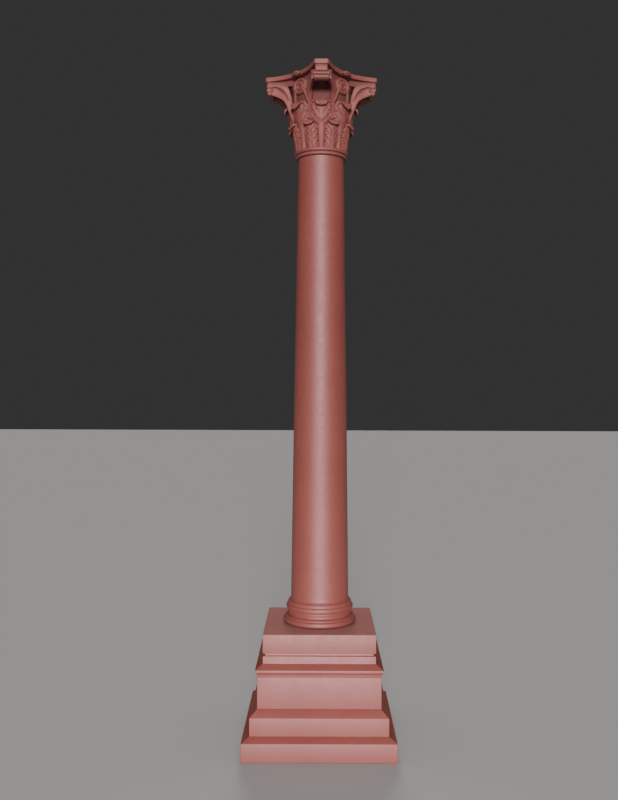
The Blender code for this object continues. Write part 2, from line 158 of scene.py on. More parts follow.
def smooth_reading(x: Array, knots: Array, values: Array) -> Array:
    """Reads a smooth curve through knots: cubic pieces whose slope at a knot is that of its two neighbours.

    Args:
        x: where to read it.
        knots: rising positions.
        values: one value, or one row of values, for each knot.

    Returns:
        The values at x.
    """
    values = np.asarray(values, float)
    flat = values.ndim == 1
    table = values[:, None] if flat else values
    slope = np.gradient(table, knots, axis=0)
    i = np.clip(np.searchsorted(knots, x, side="right") - 1, 0, len(knots) - 2)
    width = (knots[i + 1] - knots[i])[..., None]
    u = ((x - knots[i])[..., None] / width).clip(0, 1)
    a, b = table[i], table[i + 1]
    read = (
        a * (1 + 2 * u) * (1 - u) ** 2
        + slope[i] * width * u * (1 - u) ** 2
        + b * (3 - 2 * u) * u**2
        + slope[i + 1] * width * u**2 * (u - 1)
    )
    return read[..., 0] if flat else read


def along(points: Array, count: int) -> Array:
    """A smooth curve through points, read at evenly spaced lengths.

    Args:
        points: the points that it passes through, one to a row.
        count: how many points to read.

    Returns:
        The points read, one to a row.
    """
    points = np.asarray(points, float)
    knots = np.append(0, np.cumsum(np.linalg.norm(np.diff(points, axis=0), axis=1)))
    return smooth_reading(np.linspace(0, knots[-1], count), knots, points)


def step_up(x: Array | float, low: float, high: float) -> Array:
    """0 below low, 1 above high, and a smooth rise between them."""
    u = np.clip((x - low) / (high - low), 0, 1)
    return u * u * (3 - 2 * u)


def bump_at(x: Array, centre: Array | float, width: Array | float) -> Array:
    """A bell-shaped rise of height 1: e to the minus square of the distance over the width."""
    return np.exp(-(((x - centre) / width) ** 2))


def nearest(points: Array, line: Array) -> tuple[Array, Array]:
    """Finds the nearest point of a dense line for each of many points, in two dimensions.

    Args:
        points: any grid of points.
        line: the line's points, one to a row.

    Returns:
        The distance from each point, and the share of the line at which its nearest point lies.
    """
    gap = np.linalg.norm(points[..., None, :] - line, axis=-1)
    pick = gap.argmin(axis=-1)
    return gap.min(axis=-1), pick / (len(line) - 1)


def turned_surface(profile: Array, sides: int) -> Surface:
    """A profile of (radius, height) rows turned about the axis and closed by a disc at each end.

    The point at turn a of a row (r, z) is (r cos a, r sin a, z).

    Args:
        profile: the rows, from the foot up.
        sides: how many points to a ring.

    Returns:
        The closed surface.
    """
    turn = np.linspace(0, 2 * np.pi, sides, endpoint=False)
    radius, height = profile[:, :1], profile[:, 1:]
    points = np.stack([radius * np.cos(turn), radius * np.sin(turn), height + 0 * turn], axis=-1)
    return Surface.grid(points, ring=True).ended(sides)


def square_loop(half: float, corner: float, facets: int = 4, flats: int = 6) -> Array:
    """A square outline with rounded corners, as points on the plan.

    Args:
        half: half of the square's width.
        corner: the radius of its corners.
        facets: how many chords round a corner.
        flats: how many lengths a side is cut in.

    Returns:
        The outline's points, anticlockwise.
    """
    turn = np.linspace(0, np.pi / 2, facets + 1)
    core = half - corner
    arc = np.stack([core + corner * np.cos(turn), core + corner * np.sin(turn)], axis=1)
    share = np.linspace(0, 1, flats + 1)[1:-1, None]
    quarter = np.vstack([arc, arc[-1] + share * (np.array([-core, half]) - arc[-1])])
    loops = []
    for k in range(4):
        c, s = np.cos(k * np.pi / 2), np.sin(k * np.pi / 2)
        loops.append(quarter @ np.array([[c, s], [-s, c]]))
    return np.vstack(loops)


def square_surface(profile: Array, corner: float) -> Surface:
    """A profile of (half width, height) rows carried round a square, and closed at both ends.

    Args:
        profile: the rows, from the foot up.
        corner: the radius of the upright corners.

    Returns:
        The closed surface.
    """
    rings = []
    for half, height in profile:
        loop = square_loop(half, corner)
        rings.append(np.column_stack([loop, np.full(len(loop), height)]))
    return Surface.grid(np.stack(rings), ring=True).ended(len(rings[0]))


def eased(profile: Array, radius: float, facets: int = 3) -> Array:
    """The profile with each corner swapped for a small arc, so that its arrises catch the light.

    Each corner gives way to a curve that starts and ends a radius away from it and leans toward it in
    between.

    Args:
        profile: rows of two numbers, whose first and last stay as they are.
        radius: how far from a corner its curve starts, or the longest ease's share of a shorter side.
        facets: how many chords to a curve.

    Returns:
        The eased rows.
    """
    profile = np.asarray(profile, float)
    found = [profile[0]]
    for before, here, after in zip(profile, profile[1:], profile[2:]):
        start = here + (before - here) * min(LONGEST_EASE, radius / np.linalg.norm(before - here))
        end = here + (after - here) * min(LONGEST_EASE, radius / np.linalg.norm(after - here))
        for u in np.linspace(0, 1, facets + 1):
            found.append(start * (1 - u) ** 2 + here * 2 * u * (1 - u) + end * u**2)
    found.append(profile[-1])
    return np.array(found)


def tube_surface(
    path: Array, radii: Array, sides: int, flute: float, flutes: int, flat: float = 1.0
) -> Surface:
    """A closed, fluted tube along a path in space.

    A ring's point at turn a is its centre + r (1 + flute cos(flutes a)) (flat n cos a + b sin a), where n
    and b are two directions square to the path.

    Args:
        path: the tube's middle line, one point to a row.
        radii: its radius at each point.
        sides: how many points to a ring.
        flute: how far the flutes rise, as a share of the radius.
        flutes: how many flutes.
        flat: its thickness as a share of its width.

    Returns:
        The closed surface.
    """
    ahead = np.gradient(path, axis=0)
    ahead /= np.linalg.norm(ahead, axis=1, keepdims=True)
    sideways = np.cross(ahead, (0.0, 1.0, 0.0))
    sideways /= np.linalg.norm(sideways, axis=1, keepdims=True)
    other = np.cross(ahead, sideways)
    turn = np.linspace(0, 2 * np.pi, sides, endpoint=False)
    ripple = 1 + flute * np.cos(flutes * turn)
    swing = flat * sideways[:, None] * np.cos(turn)[None, :, None]
    swing = swing + other[:, None] * np.sin(turn)[None, :, None]
    points = path[:, None] + radii[:, None, None] * ripple[None, :, None] * swing
    # the flutes' hollows take painted shade
    furrow = (0.5 - 0.5 * np.cos(flutes * turn)) * min(1.0, 8 * flute)
    hollow = np.broadcast_to(furrow, points.shape[:2])
    return Surface.grid(points, hollow, ring=True).ended(sides)


def shell_between(front: Array, back: Array, front_hollow: Array, back_hollow: Array) -> Surface:
    """A closed body between two grids of points with the same rows and columns, with a rim round them.

    Args:
        front: the front's points.
        back: the back's points.
        front_hollow: how much painted shade each point of the front takes.
        back_hollow: the same for the back.

    Returns:
        The closed surface.
    """
    rows, columns = front.shape[:2]
    face = Surface.grid(front, front_hollow)
    rear = Surface.grid(back, back_hollow)
    index = np.arange(rows * columns).reshape(rows, columns)
    edge = np.concatenate([index[0, :-1], index[:-1, -1], index[-1, :0:-1], index[:0:-1, 0]])
    ahead = np.roll(edge, -1)
    behind = rows * columns
    rim = np.stack([edge, edge + behind, ahead + behind, ahead], axis=1)
    both = Surface.joined([face, Surface(rear.points, rear.quads[:, ::-1], rear.tris, rear.hollow)])
    return Surface(both.points, np.vstack([both.quads, rim]), both.tris, both.hollow)


def add_piece(
    name: str, shape: Surface, finish: bpy.types.Material, node: str, crease: float = 35.0
) -> None:
    """Makes a mesh object of a surface, welded and facing outward, that rides on the column.

    Args:
        name: the piece's name.
        shape: its surface.
        finish: its material.
        node: the solid that it stands for.
        crease: the angle in degrees past which an edge stays sharp.
    """
    mesh = bpy.data.meshes.new(name)
    quads, tris = len(shape.quads), len(shape.tris)
    mesh.vertices.add(len(shape.points))
    mesh.vertices.foreach_set("co", shape.points.astype(np.float32).ravel())
    mesh.loops.add(4 * quads + 3 * tris)
    corners = np.concatenate([shape.quads.ravel(), shape.tris.ravel()])
    mesh.loops.foreach_set("vertex_index", corners.astype(np.int32))
    mesh.polygons.add(quads + tris)
    starts = np.concatenate([np.arange(quads) * 4, 4 * quads + np.arange(tris) * 3])
    mesh.polygons.foreach_set("loop_start", starts.astype(np.int32))
    # the hollow attribute carries each point's painted shade to the finish
    depth = mesh.attributes.new("hollow", "FLOAT", "POINT")
    depth.data.foreach_set("value", shape.hollow.astype(np.float32))
    mesh.update(calc_edges=True)
    mesh.validate()
    work = bmesh.new()
    work.from_mesh(mesh)
    bmesh.ops.remove_doubles(work, verts=work.verts, dist=WELD_DISTANCE)
    bmesh.ops.recalc_face_normals(work, faces=work.faces)
    work.to_mesh(mesh)
    work.free()
    mesh.shade_smooth()
    mesh.set_sharp_from_angle(angle=np.radians(crease))
    mesh.materials.append(finish)
    piece = bpy.data.objects.new(name, mesh)
    bpy.context.scene.collection.objects.link(piece)
    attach(piece, "root")
    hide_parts(node)
    log.info("%s: %d faces", name, len(mesh.polygons))


# Finishes


class Dressing(Enum):
    """How a mason leaves the face of a stone."""

    HONED = "honed"
    TURNED = "turned"
    CARVED = "carved"


@dataclass
class StoneGroups:
    """Node groups every stone shares: its colour and grain, and its painted shade, dust, painted top light
    and wear.

    A scale is about how many cells of a noise there are to a metre.
    """

    cloud_scale: float = 2.3
    mottle_scale: float = 31.0
    speck_scale: float = 95.0
    patch_scale: float = 46.0
    tone_weights: tuple[float, float, float] = (0.50, 0.30, 0.20)
    height_weights: tuple[float, float, float] = (0.6, 0.3, 0.25)
    speck_tone: float = 0.55
    # painted shade on faces that turn down
    underside_shade_share: float = 0.75
    # pale dust with painted top light on faces that turn up
    dust_and_top_light_share: float = 0.85
    dust_and_top_light_tilt: float = 0.90

    def __post_init__(self) -> None:
        """Builds both groups once."""
        self.grain = self._grain()
        self.wear = self._shade_dust_and_wear()

    @staticmethod
    def _group(name: str, inputs: dict[str, str], outputs: dict[str, str]) -> bpy.types.NodeTree:
        """Makes an empty shader group.

        Args:
            name: the group's name.
            inputs: the kind of each input socket by its name.
            outputs: the same for the output sockets.

        Returns:
            The group's tree.
        """
        tree = bpy.data.node_groups.new(name, "ShaderNodeTree")
        for way, sockets in (("INPUT", inputs), ("OUTPUT", outputs)):
            for label, kind in sockets.items():
                tree.interface.new_socket(name=label, in_out=way, socket_type=f"NodeSocket{kind}")
        return tree

    def _grain(self) -> bpy.types.NodeTree:
        """Stone colour and surface: broad clouds, mottling, fine crystals and rare dark specks.

        The colour runs from Dark to Light by a weighted sum of three noises, darkened at the specks. The
        height is a weighted sum of the fine ones.

        Returns:
            The group's tree.
        """
        tree = self._group(
            "stone grain",
            {"Vector": "Vector", "Dark": "Color", "Light": "Color", "Grain Size": "Float"},
            {"Color": "Color", "Height": "Float", "Gloss": "Float"},
        )
        nodes = Wiring(tree)
        inside = nodes.add("NodeGroupInput")
        outside = nodes.add("NodeGroupOutput")
        place = inside.outputs["Vector"]
        clouds = nodes.noise(place, self.cloud_scale, 5.0, 0.55)
        mottle = nodes.noise(place, self.mottle_scale, 4.0, 0.6)
        crystal = nodes.noise(place, inside.outputs["Grain Size"], 2.0, 0.5)
        speck = nodes.add("ShaderNodeTexVoronoi")
        speck.feature = "F1"
        nodes.link(place, speck.inputs["Vector"])
        speck.inputs["Scale"].default_value = self.speck_scale
        clear = nodes.range_of(speck.outputs["Distance"], 0.05, 0.22)
        spread = nodes.range_of(nodes.weighted([clouds, mottle, crystal], self.tone_weights), 0.34, 0.66)
        tone = nodes.math("MULTIPLY", spread, nodes.range_of(clear, 0.0, 1.0, self.speck_tone, 1.0))
        nodes.link(nodes.mix(tone, inside.outputs["Dark"], inside.outputs["Light"]), outside.inputs["Color"])
        height = nodes.weighted([crystal, mottle, clear], self.height_weights)
        nodes.link(height, outside.inputs["Height"])
        nodes.link(mottle, outside.inputs["Gloss"])
        return tree

    def _shade_dust_and_wear(self) -> bpy.types.NodeTree:
        """Painted shade in hollows and on undersides, pale dust with painted top light on upward faces, and
        arrises rubbed lighter.

        The painted shade is the hollow attribute, broken by noise, and grows as the face turns down; the pale
        dust and painted top light grow as it turns up. Wear is the mesh's pointiness above its middle value.

        Returns:
            The group's tree.
        """
        colours = {"Color": "Color", "Deep": "Color", "Worn": "Color", "Dust And Top Light": "Color"}
        tree = self._group(
            "painted shade, dust and wear",
            {"Vector": "Vector", **colours, "Hollow Shade Amount": "Float", "Wear": "Float"},
            {"Color": "Color", "Mask": "Float"},
        )
        nodes = Wiring(tree)
        inside = nodes.add("NodeGroupInput")
        outside = nodes.add("NodeGroupOutput")
        # painted shade in hollows and under overhangs: the hollow attribute, broken into patches by noise
        hollow = nodes.add("ShaderNodeAttribute")
        hollow.attribute_name = "hollow"
        patches = nodes.noise(inside.outputs["Vector"], self.patch_scale, 3.0, 0.6)
        hollow_shade = nodes.math("MULTIPLY", hollow.outputs["Fac"], nodes.range_of(patches, 0.3, 0.7, 0.65, 1.0))
        hollow_shade = nodes.math("MULTIPLY", hollow_shade, inside.outputs["Hollow Shade Amount"], clamp=True)
        face = nodes.add("ShaderNodeNewGeometry")
        rubbed = nodes.range_of(face.outputs["Pointiness"], 0.515, 0.60)
        rubbed = nodes.math("MULTIPLY", rubbed, nodes.range_of(patches, 0.25, 0.75, 0.3, 1.0))
        rubbed = nodes.math("MULTIPLY", rubbed, inside.outputs["Wear"], clamp=True)
        normal = nodes.add("ShaderNodeSeparateXYZ")
        nodes.link(face.outputs["Normal"], normal.inputs[0])
        upward = normal.outputs["Z"]
        # painted shade that grows as the face turns down
        underside_shade = nodes.range_of(upward, -0.35, -0.90, 0.0, self.underside_shade_share)
        # pale dust and painted top light that grow as the face turns up
        ledge = nodes.range_of(upward, self.dust_and_top_light_tilt, 1.0, 0.0, self.dust_and_top_light_share)
        # the hollows take the deep colour as painted shade
        colour = nodes.mix(hollow_shade, inside.outputs["Color"], inside.outputs["Deep"])
        colour = nodes.mix(rubbed, colour, inside.outputs["Worn"])
        # upward faces take the pale colour as dust and painted top light
        colour = nodes.mix(ledge, colour, inside.outputs["Dust And Top Light"])
        # the undersides take the deep colour as painted shade
        colour = nodes.mix(underside_shade, colour, inside.outputs["Deep"])
        nodes.link(colour, outside.inputs["Color"])
        # the mask of painted shade, pale dust and painted top light
        mask = nodes.math("MAXIMUM", nodes.math("MAXIMUM", hollow_shade, underside_shade), ledge)
        nodes.link(mask, outside.inputs["Mask"])
        return tree


class Wiring:
    """Short ways to add and join shader nodes in one tree."""

    def __init__(self, tree: bpy.types.NodeTree) -> None:
        """Works in this tree."""
        self.tree = tree

    def add(self, kind: str) -> Any:
        """A new node of this kind."""
        return self.tree.nodes.new(kind)

    def link(self, source: Any, target: Any) -> None:
        """Joins two sockets."""
        self.tree.links.new(source, target)

    def feed(self, value: Any, target: Any) -> None:
        """Sets a socket, or joins another to it.

        Args:
            value: a number, a colour, a vector or a socket.
            target: the socket that takes it.
        """
        if isinstance(value, bpy.types.NodeSocket):
            self.link(value, target)
        else:
            target.default_value = value

    def group(self, tree: bpy.types.NodeTree, settings: dict[str, Any]) -> Any:
        """Adds a node group.

        Args:
            tree: the group's tree.
            settings: what each of its inputs takes, by the input's name.

        Returns:
            The group's node.
        """
        node = self.add("ShaderNodeGroup")
        node.node_tree = tree
        for label, value in settings.items():
            self.feed(value, node.inputs[label])
        return node

    def noise(self, vector: Any, scale: Any, detail: float, rough: float) -> Any:
        """Adds a noise texture.

        Args:
            vector: where it is read.
            scale: its scale, a number or a socket.
            detail: how many finer layers it has.
            rough: how strong the finer layers are.

        Returns:
            The noise's value.
        """
        node = self.add("ShaderNodeTexNoise")
        self.link(vector, node.inputs["Vector"])
        for label, value in (("Scale", scale), ("Detail", detail), ("Roughness", rough)):
            self.feed(value, node.inputs[label])
        return node.outputs["Fac"]

    def math(self, action: str, a: Any, b: Any = None, c: Any = None, clamp: bool = False) -> Any:
        """Adds one sum.

        Args:
            action: what it does.
            a: its first value.
            b: its second value, where it takes one.
            c: its third value, where it takes one.
            clamp: keeps the result from 0 to 1.

        Returns:
            The result.
        """
        node = self.add("ShaderNodeMath")
        node.operation = action
        node.use_clamp = clamp
        for value, socket in zip((a, b, c), node.inputs):
            if value is not None:
                self.feed(value, socket)
        return node.outputs[0]

    def weighted(self, values: list[Any], weights: tuple[float, ...]) -> Any:
        """Adds up values.

        Args:
            values: the values.
            weights: the weight of each.

        Returns:
            The sum of each value times its weight.
        """
        total = 0.0
        for value, weight in zip(values[::-1], weights[::-1]):
            total = self.math("MULTIPLY_ADD", value, weight, total)
        return total

    def range_of(self, value: Any, low: float, high: float, to_low: float = 0.0, to_high: float = 1.0) -> Any:
        """Moves a value from one range to another, clamped.

        Args:
            value: the value.
            low: what becomes to_low.
            high: what becomes to_high.
            to_low: the new range's start.
            to_high: the new range's end.

        Returns:
            The value in the new range.
        """
        node = self.add("ShaderNodeMapRange")
        self.feed(value, node.inputs["Value"])
        for label, number in (("From Min", low), ("From Max", high), ("To Min", to_low), ("To Max", to_high)):
            node.inputs[label].default_value = number
        return node.outputs["Result"]

    def mix(self, share: Any, a: Any, b: Any) -> Any:
        """Adds a mix of two colours.

        Args:
            share: how much of the second colour there is.
            a: the first colour.
            b: the second colour.

        Returns:
            The mixed colour.
        """
        node = self.add("ShaderNodeMix")
        node.data_type = "RGBA"
        for value, socket in ((share, node.inputs["Factor"]), (a, node.inputs[6]), (b, node.inputs[7])):
            self.feed(value, socket)
        return node.outputs[2]


@dataclass(frozen=True)
class StoneFinish:
    """One dressing of the column's red stone."""

    name: str
    dressing: Dressing
    dark: tuple[float, float, float] = (0.235, 0.052, 0.039)
    light: tuple[float, float, float] = (0.300, 0.072, 0.055)
    # the deep colour is the painted shade in hollows and on undersides
    deep: tuple[float, float, float] = (0.090, 0.020, 0.015)
    worn: tuple[float, float, float] = (0.420, 0.135, 0.110)
    # the pale colour of dust and painted top light on upward faces
    dust_and_top_light: tuple[float, float, float] = (0.420, 0.175, 0.150)
    rough: tuple[float, float] = (0.52, 0.60)
    # how much rougher the stone is where painted shade and pale dust are laid
    rougher_in_shade_and_dust: float = 0.25
    specular: float = 1.0
    sheen_colour: tuple[float, float, float] = (1.0, 0.70, 0.74)
    bending: float = 1.6
    grain_size: float = 260.0
    grain_depth: float = 0.0006
    grain_strength: float = 0.6
    # how strongly the hollows take painted shade
    hollow_shade_amount: float = 0.6
    wear: float = 0.3
    stroke_scale: float = 150.0
    stroke_stretch: tuple[float, float, float] = (0.3, 0.3, 1.0)
    ring_turn: float = 900.0
    mark_height: float = 0.25

    def material(self, groups: StoneGroups) -> bpy.types.Material:
        """Makes the finish: stone grain, then painted shade, dust, painted top light and wear, with the
        dressing's marks in the bump.

        Args:
            groups: the node groups that all finishes share.

        Returns:
            The material.
        """
        made = bpy.data.materials.new(self.name)
        made.use_nodes = True
        nodes = Wiring(made.node_tree)
        shader = made.node_tree.nodes["Principled BSDF"]
        place = nodes.add("ShaderNodeTexCoord").outputs["Object"]
        grain = nodes.group(groups.grain, {
            "Vector": place,
            "Dark": (*self.dark, 1),
            "Light": (*self.light, 1),
            "Grain Size": self.grain_size,
        })
        wear = nodes.group(groups.wear, {
            "Vector": place,
            "Color": grain.outputs["Color"],
            "Deep": (*self.deep, 1),
            "Worn": (*self.worn, 1),
            "Dust And Top Light": (*self.dust_and_top_light, 1),
            "Hollow Shade Amount": self.hollow_shade_amount,
            "Wear": self.wear,
        })
        nodes.link(wear.outputs["Color"], shader.inputs["Base Color"])
        rough = nodes.range_of(grain.outputs["Gloss"], 0.3, 0.7, *self.rough)
        # rougher where painted shade and pale dust are laid
        rough = nodes.math("MULTIPLY_ADD", wear.outputs["Mask"], self.rougher_in_shade_and_dust, rough)
        nodes.link(rough, shader.inputs["Roughness"])
        shader.inputs["Specular IOR Level"].default_value = self.specular
        shader.inputs["Specular Tint"].default_value = (*self.sheen_colour, 1)
        shader.inputs["IOR"].default_value = self.bending
        bump = nodes.add("ShaderNodeBump")
        bump.inputs["Distance"].default_value = self.grain_depth
        bump.inputs["Strength"].default_value = self.grain_strength
        height = nodes.math("ADD", grain.outputs["Height"], self._marks(nodes, place))
        nodes.link(height, bump.inputs["Height"])
        nodes.link(bump.outputs["Normal"], shader.inputs["Normal"])
        return made

    def _marks(self, nodes: Wiring, place: Any) -> Any:
        """The marks that this dressing leaves: rings from turning, or strokes from carving and rubbing.

        Args:
            nodes: the material's nodes.
            place: where the marks are read.

        Returns:
            The marks' height.
        """
        if self.dressing is Dressing.TURNED:
            split = nodes.add("ShaderNodeSeparateXYZ")
            nodes.link(place, split.inputs[0])
            marks = nodes.math("SINE", nodes.math("MULTIPLY", split.outputs["Z"], self.ring_turn))
        else:
            strokes = nodes.add("ShaderNodeMapping")
            strokes.inputs["Scale"].default_value = self.stroke_stretch
            nodes.link(place, strokes.inputs["Vector"])
            marks = nodes.noise(strokes.outputs["Vector"], self.stroke_scale, 2.0, 0.5)
        return nodes.math("MULTIPLY", marks, self.mark_height)


# Pedestal


@dataclass
class Pedestal:
    """The five square blocks under the column, each a profile of (half width, height) carried round a square.

    A step is its half width, where its upright face ends, and the half width and height at its wash's
    top. The die, the quirk and the plinth are a half width and a height. The fillet and the neck are a
    half width and the heights where they start and end.
    """

    finish: bpy.types.Material
    gap: float = 0.0003
    arris: float = 0.0028
    bed_share: float = 0.9
    cavetto_stop: float = 0.0022
    fillet_step: float = 0.0006
    step_lower: tuple[float, float, float, float] = (0.5064, 0.1222, 0.4563, 0.1505)
    step_upper: tuple[float, float, float, float] = (0.4553, 0.2673, 0.4093, 0.3119)
    die: tuple[float, float] = (0.4079, 0.5214)
    fillet: tuple[float, float, float] = (0.4222, 0.5509, 0.5683)
    neck: tuple[float, float, float] = (0.3739, 0.5990, 0.6484)
    quirk: tuple[float, float] = (0.3600, 0.6653)
    plinth: tuple[float, float] = (0.3742, 0.7899)

    def cap(self, start: float) -> list[tuple[float, float]]:
        """The cap's profile: a quarter round hollow under a fillet, a wash, the neck and the sunk joint.

        Args:
            start: the height of its bed.

        Returns:
            Its rows, from the bed up.
        """
        die = self.die[0]
        out, under, over = self.fillet
        neck, foot, head = self.neck
        sunk, top = self.quirk
        turn = np.linspace(0, np.pi / 2, 9)
        spread = die + (out - self.cavetto_stop - die) * (1 - np.cos(turn))
        rows = list(zip(spread, start + (under - start) * np.sin(turn)))
        rows += [(out, under + self.fillet_step), (out, over), (neck, foot), (neck, head)]
        return [*rows, (sunk, head + self.gap), (sunk, top)]

    def blocks(self) -> dict[str, Surface]:
        """The blocks, each resting a gap above the one below.

        Returns:
            Each block's surface by its name.
        """
        half, low, inner, top = self.step_lower
        rows = {"step_lower": [(half, 0.0), (half, low), (inner, top)]}
        start = top + self.gap
        half, low, inner, top = self.step_upper
        rows["step_upper"] = [(half, start), (half, low), (inner, top)]
        half, head = self.die
        rows["pedestal_die"] = [(half, top + self.gap), (half, head)]
        rows["pedestal_cap"] = self.cap(head + self.gap)
        half, head = self.plinth
        rows["plinth"] = [(half, self.quirk[1] + self.gap), (half, head)]
        found = {}
        for name, profile in rows.items():
            (wide, low), (narrow, high) = profile[0], profile[-1]
            closed = [(wide * self.bed_share, low), *profile, (narrow * self.bed_share, high)]
            found[name] = square_surface(eased(np.array(closed), self.arris), self.arris)
        return found

    def build(self) -> None:
        """Adds the blocks."""
        for name, shape in self.blocks().items():
            add_piece(f"{name}_stone", shape, self.finish, name, crease=50)


# Base and shaft


@dataclass
class TurnedBase:
    """The round base: torus, fillet, scotia, fillet, torus and fillet, turned from one stone.

    A torus is its edge radius, its widest radius and its rise. The scotia is its radius below, at the
    throat and above, and its rise. The fillets are their rises, and the joints how far each stands off
    its neighbours.
    """

    finish: bpy.types.Material
    bed: float = 0.7902
    sides: int = 192
    torus_lower: tuple[float, float, float] = (0.2360, 0.2530, 0.0430)
    scotia: tuple[float, float, float, float] = (0.2360, 0.2190, 0.2230, 0.0370)
    torus_upper: tuple[float, float, float] = (0.2230, 0.2330, 0.0360)
    fillets: tuple[float, float, float] = (0.0080, 0.0070, 0.0191)
    top_radius: float = 0.2200
    joints: tuple[float, float, float] = (0.0006, 0.0005, 0.0008)
    scotia_step: float = 0.0015
    arris: float = 0.0010

    @staticmethod
    def torus(edge: float, widest: float, rise: float, level: float) -> Array:
        """A half round of this rise on a level, from its edge radius out to its widest."""
        turn = np.linspace(-np.pi / 2, np.pi / 2, 25)
        return np.column_stack([edge + (widest - edge) * np.cos(turn), level + rise * (1 + np.sin(turn)) / 2])

    def profile(self) -> Array:
        """The base's edge from its bed up.

        The scotia dips from its edge radius to the throat by a power of the sine of its height's share.

        Returns:
            Rows of radius and height.
        """
        level = self.bed
        rows = [self.torus(*self.torus_lower, level)]
        level += self.torus_lower[2]
        below, throat, above, rise = self.scotia
        low_fillet, high_fillet, top_fillet = self.fillets
        low_joint, high_joint, top_joint = self.joints
        rows.append([(below, level + low_joint), (below, level + low_fillet - low_joint)])
        level += low_fillet
        share = np.linspace(0, 1, 25)
        edge = below + (above - below) * share - self.scotia_step
        dip = edge - (edge - throat) * np.sin(np.pi * share) ** 0.75
        rows.append(np.column_stack([dip, level + rise * share]))
        level += rise
        rows.append([(above, level + high_joint), (above, level + high_fillet - high_joint)])
        level += high_fillet
        rows.append(self.torus(*self.torus_upper, level))
        level += self.torus_upper[2]
        top, out = level + top_fillet, self.top_radius
        rows.append([(out, level + top_joint), (out, top - self.arris), (out - self.arris, top)])
        return np.vstack(rows)

    def build(self) -> None:
        """Adds the base."""
        shape = turned_surface(self.profile(), self.sides)
        add_piece("column_base_stone", shape, self.finish, "column_base")


@dataclass
class TurnedShaft:
    """The smooth shaft: a flared foot and a long taper with a slight swelling."""

    finish: bpy.types.Material
    bed: float = 0.9406
    height: float = 3.0730
    foot: float = 0.2160
    flare: float = 0.0380
    lower: float = 0.2000
    upper: float = 0.1590
    entasis: float = 0.0016
    step: float = 0.0040
    arris: float = 0.0010
    sides: int = 192

    def profile(self) -> Array:
        """The shaft's edge: a low step, a quarter round hollow, and the taper.

        The taper is straight, plus the entasis times a half sine of the height's share.

        Returns:
            Rows of radius and height, from the foot up.
        """
        turn = np.linspace(0, np.pi / 2, 13)
        foot = np.column_stack([
            self.lower + (self.foot - self.lower) * (1 - np.sin(turn)),
            self.bed + self.step + (self.flare - self.step) * (1 - np.cos(turn)),
        ])
        share = np.linspace(0, 1, 61)[1:]
        body = np.column_stack([
            self.lower + (self.upper - self.lower) * share + self.entasis * np.sin(np.pi * share),
            self.bed + self.flare + (self.height - self.flare) * share,
        ])
        start = [(self.foot - self.arris, self.bed), (self.foot, self.bed + self.arris)]
        return np.vstack([start, foot, body])

    def build(self) -> None:
        """Adds the shaft."""
        shape = turned_surface(self.profile(), self.sides)
        add_piece("shaft_stone", shape, self.finish, "shaft")


# Capital


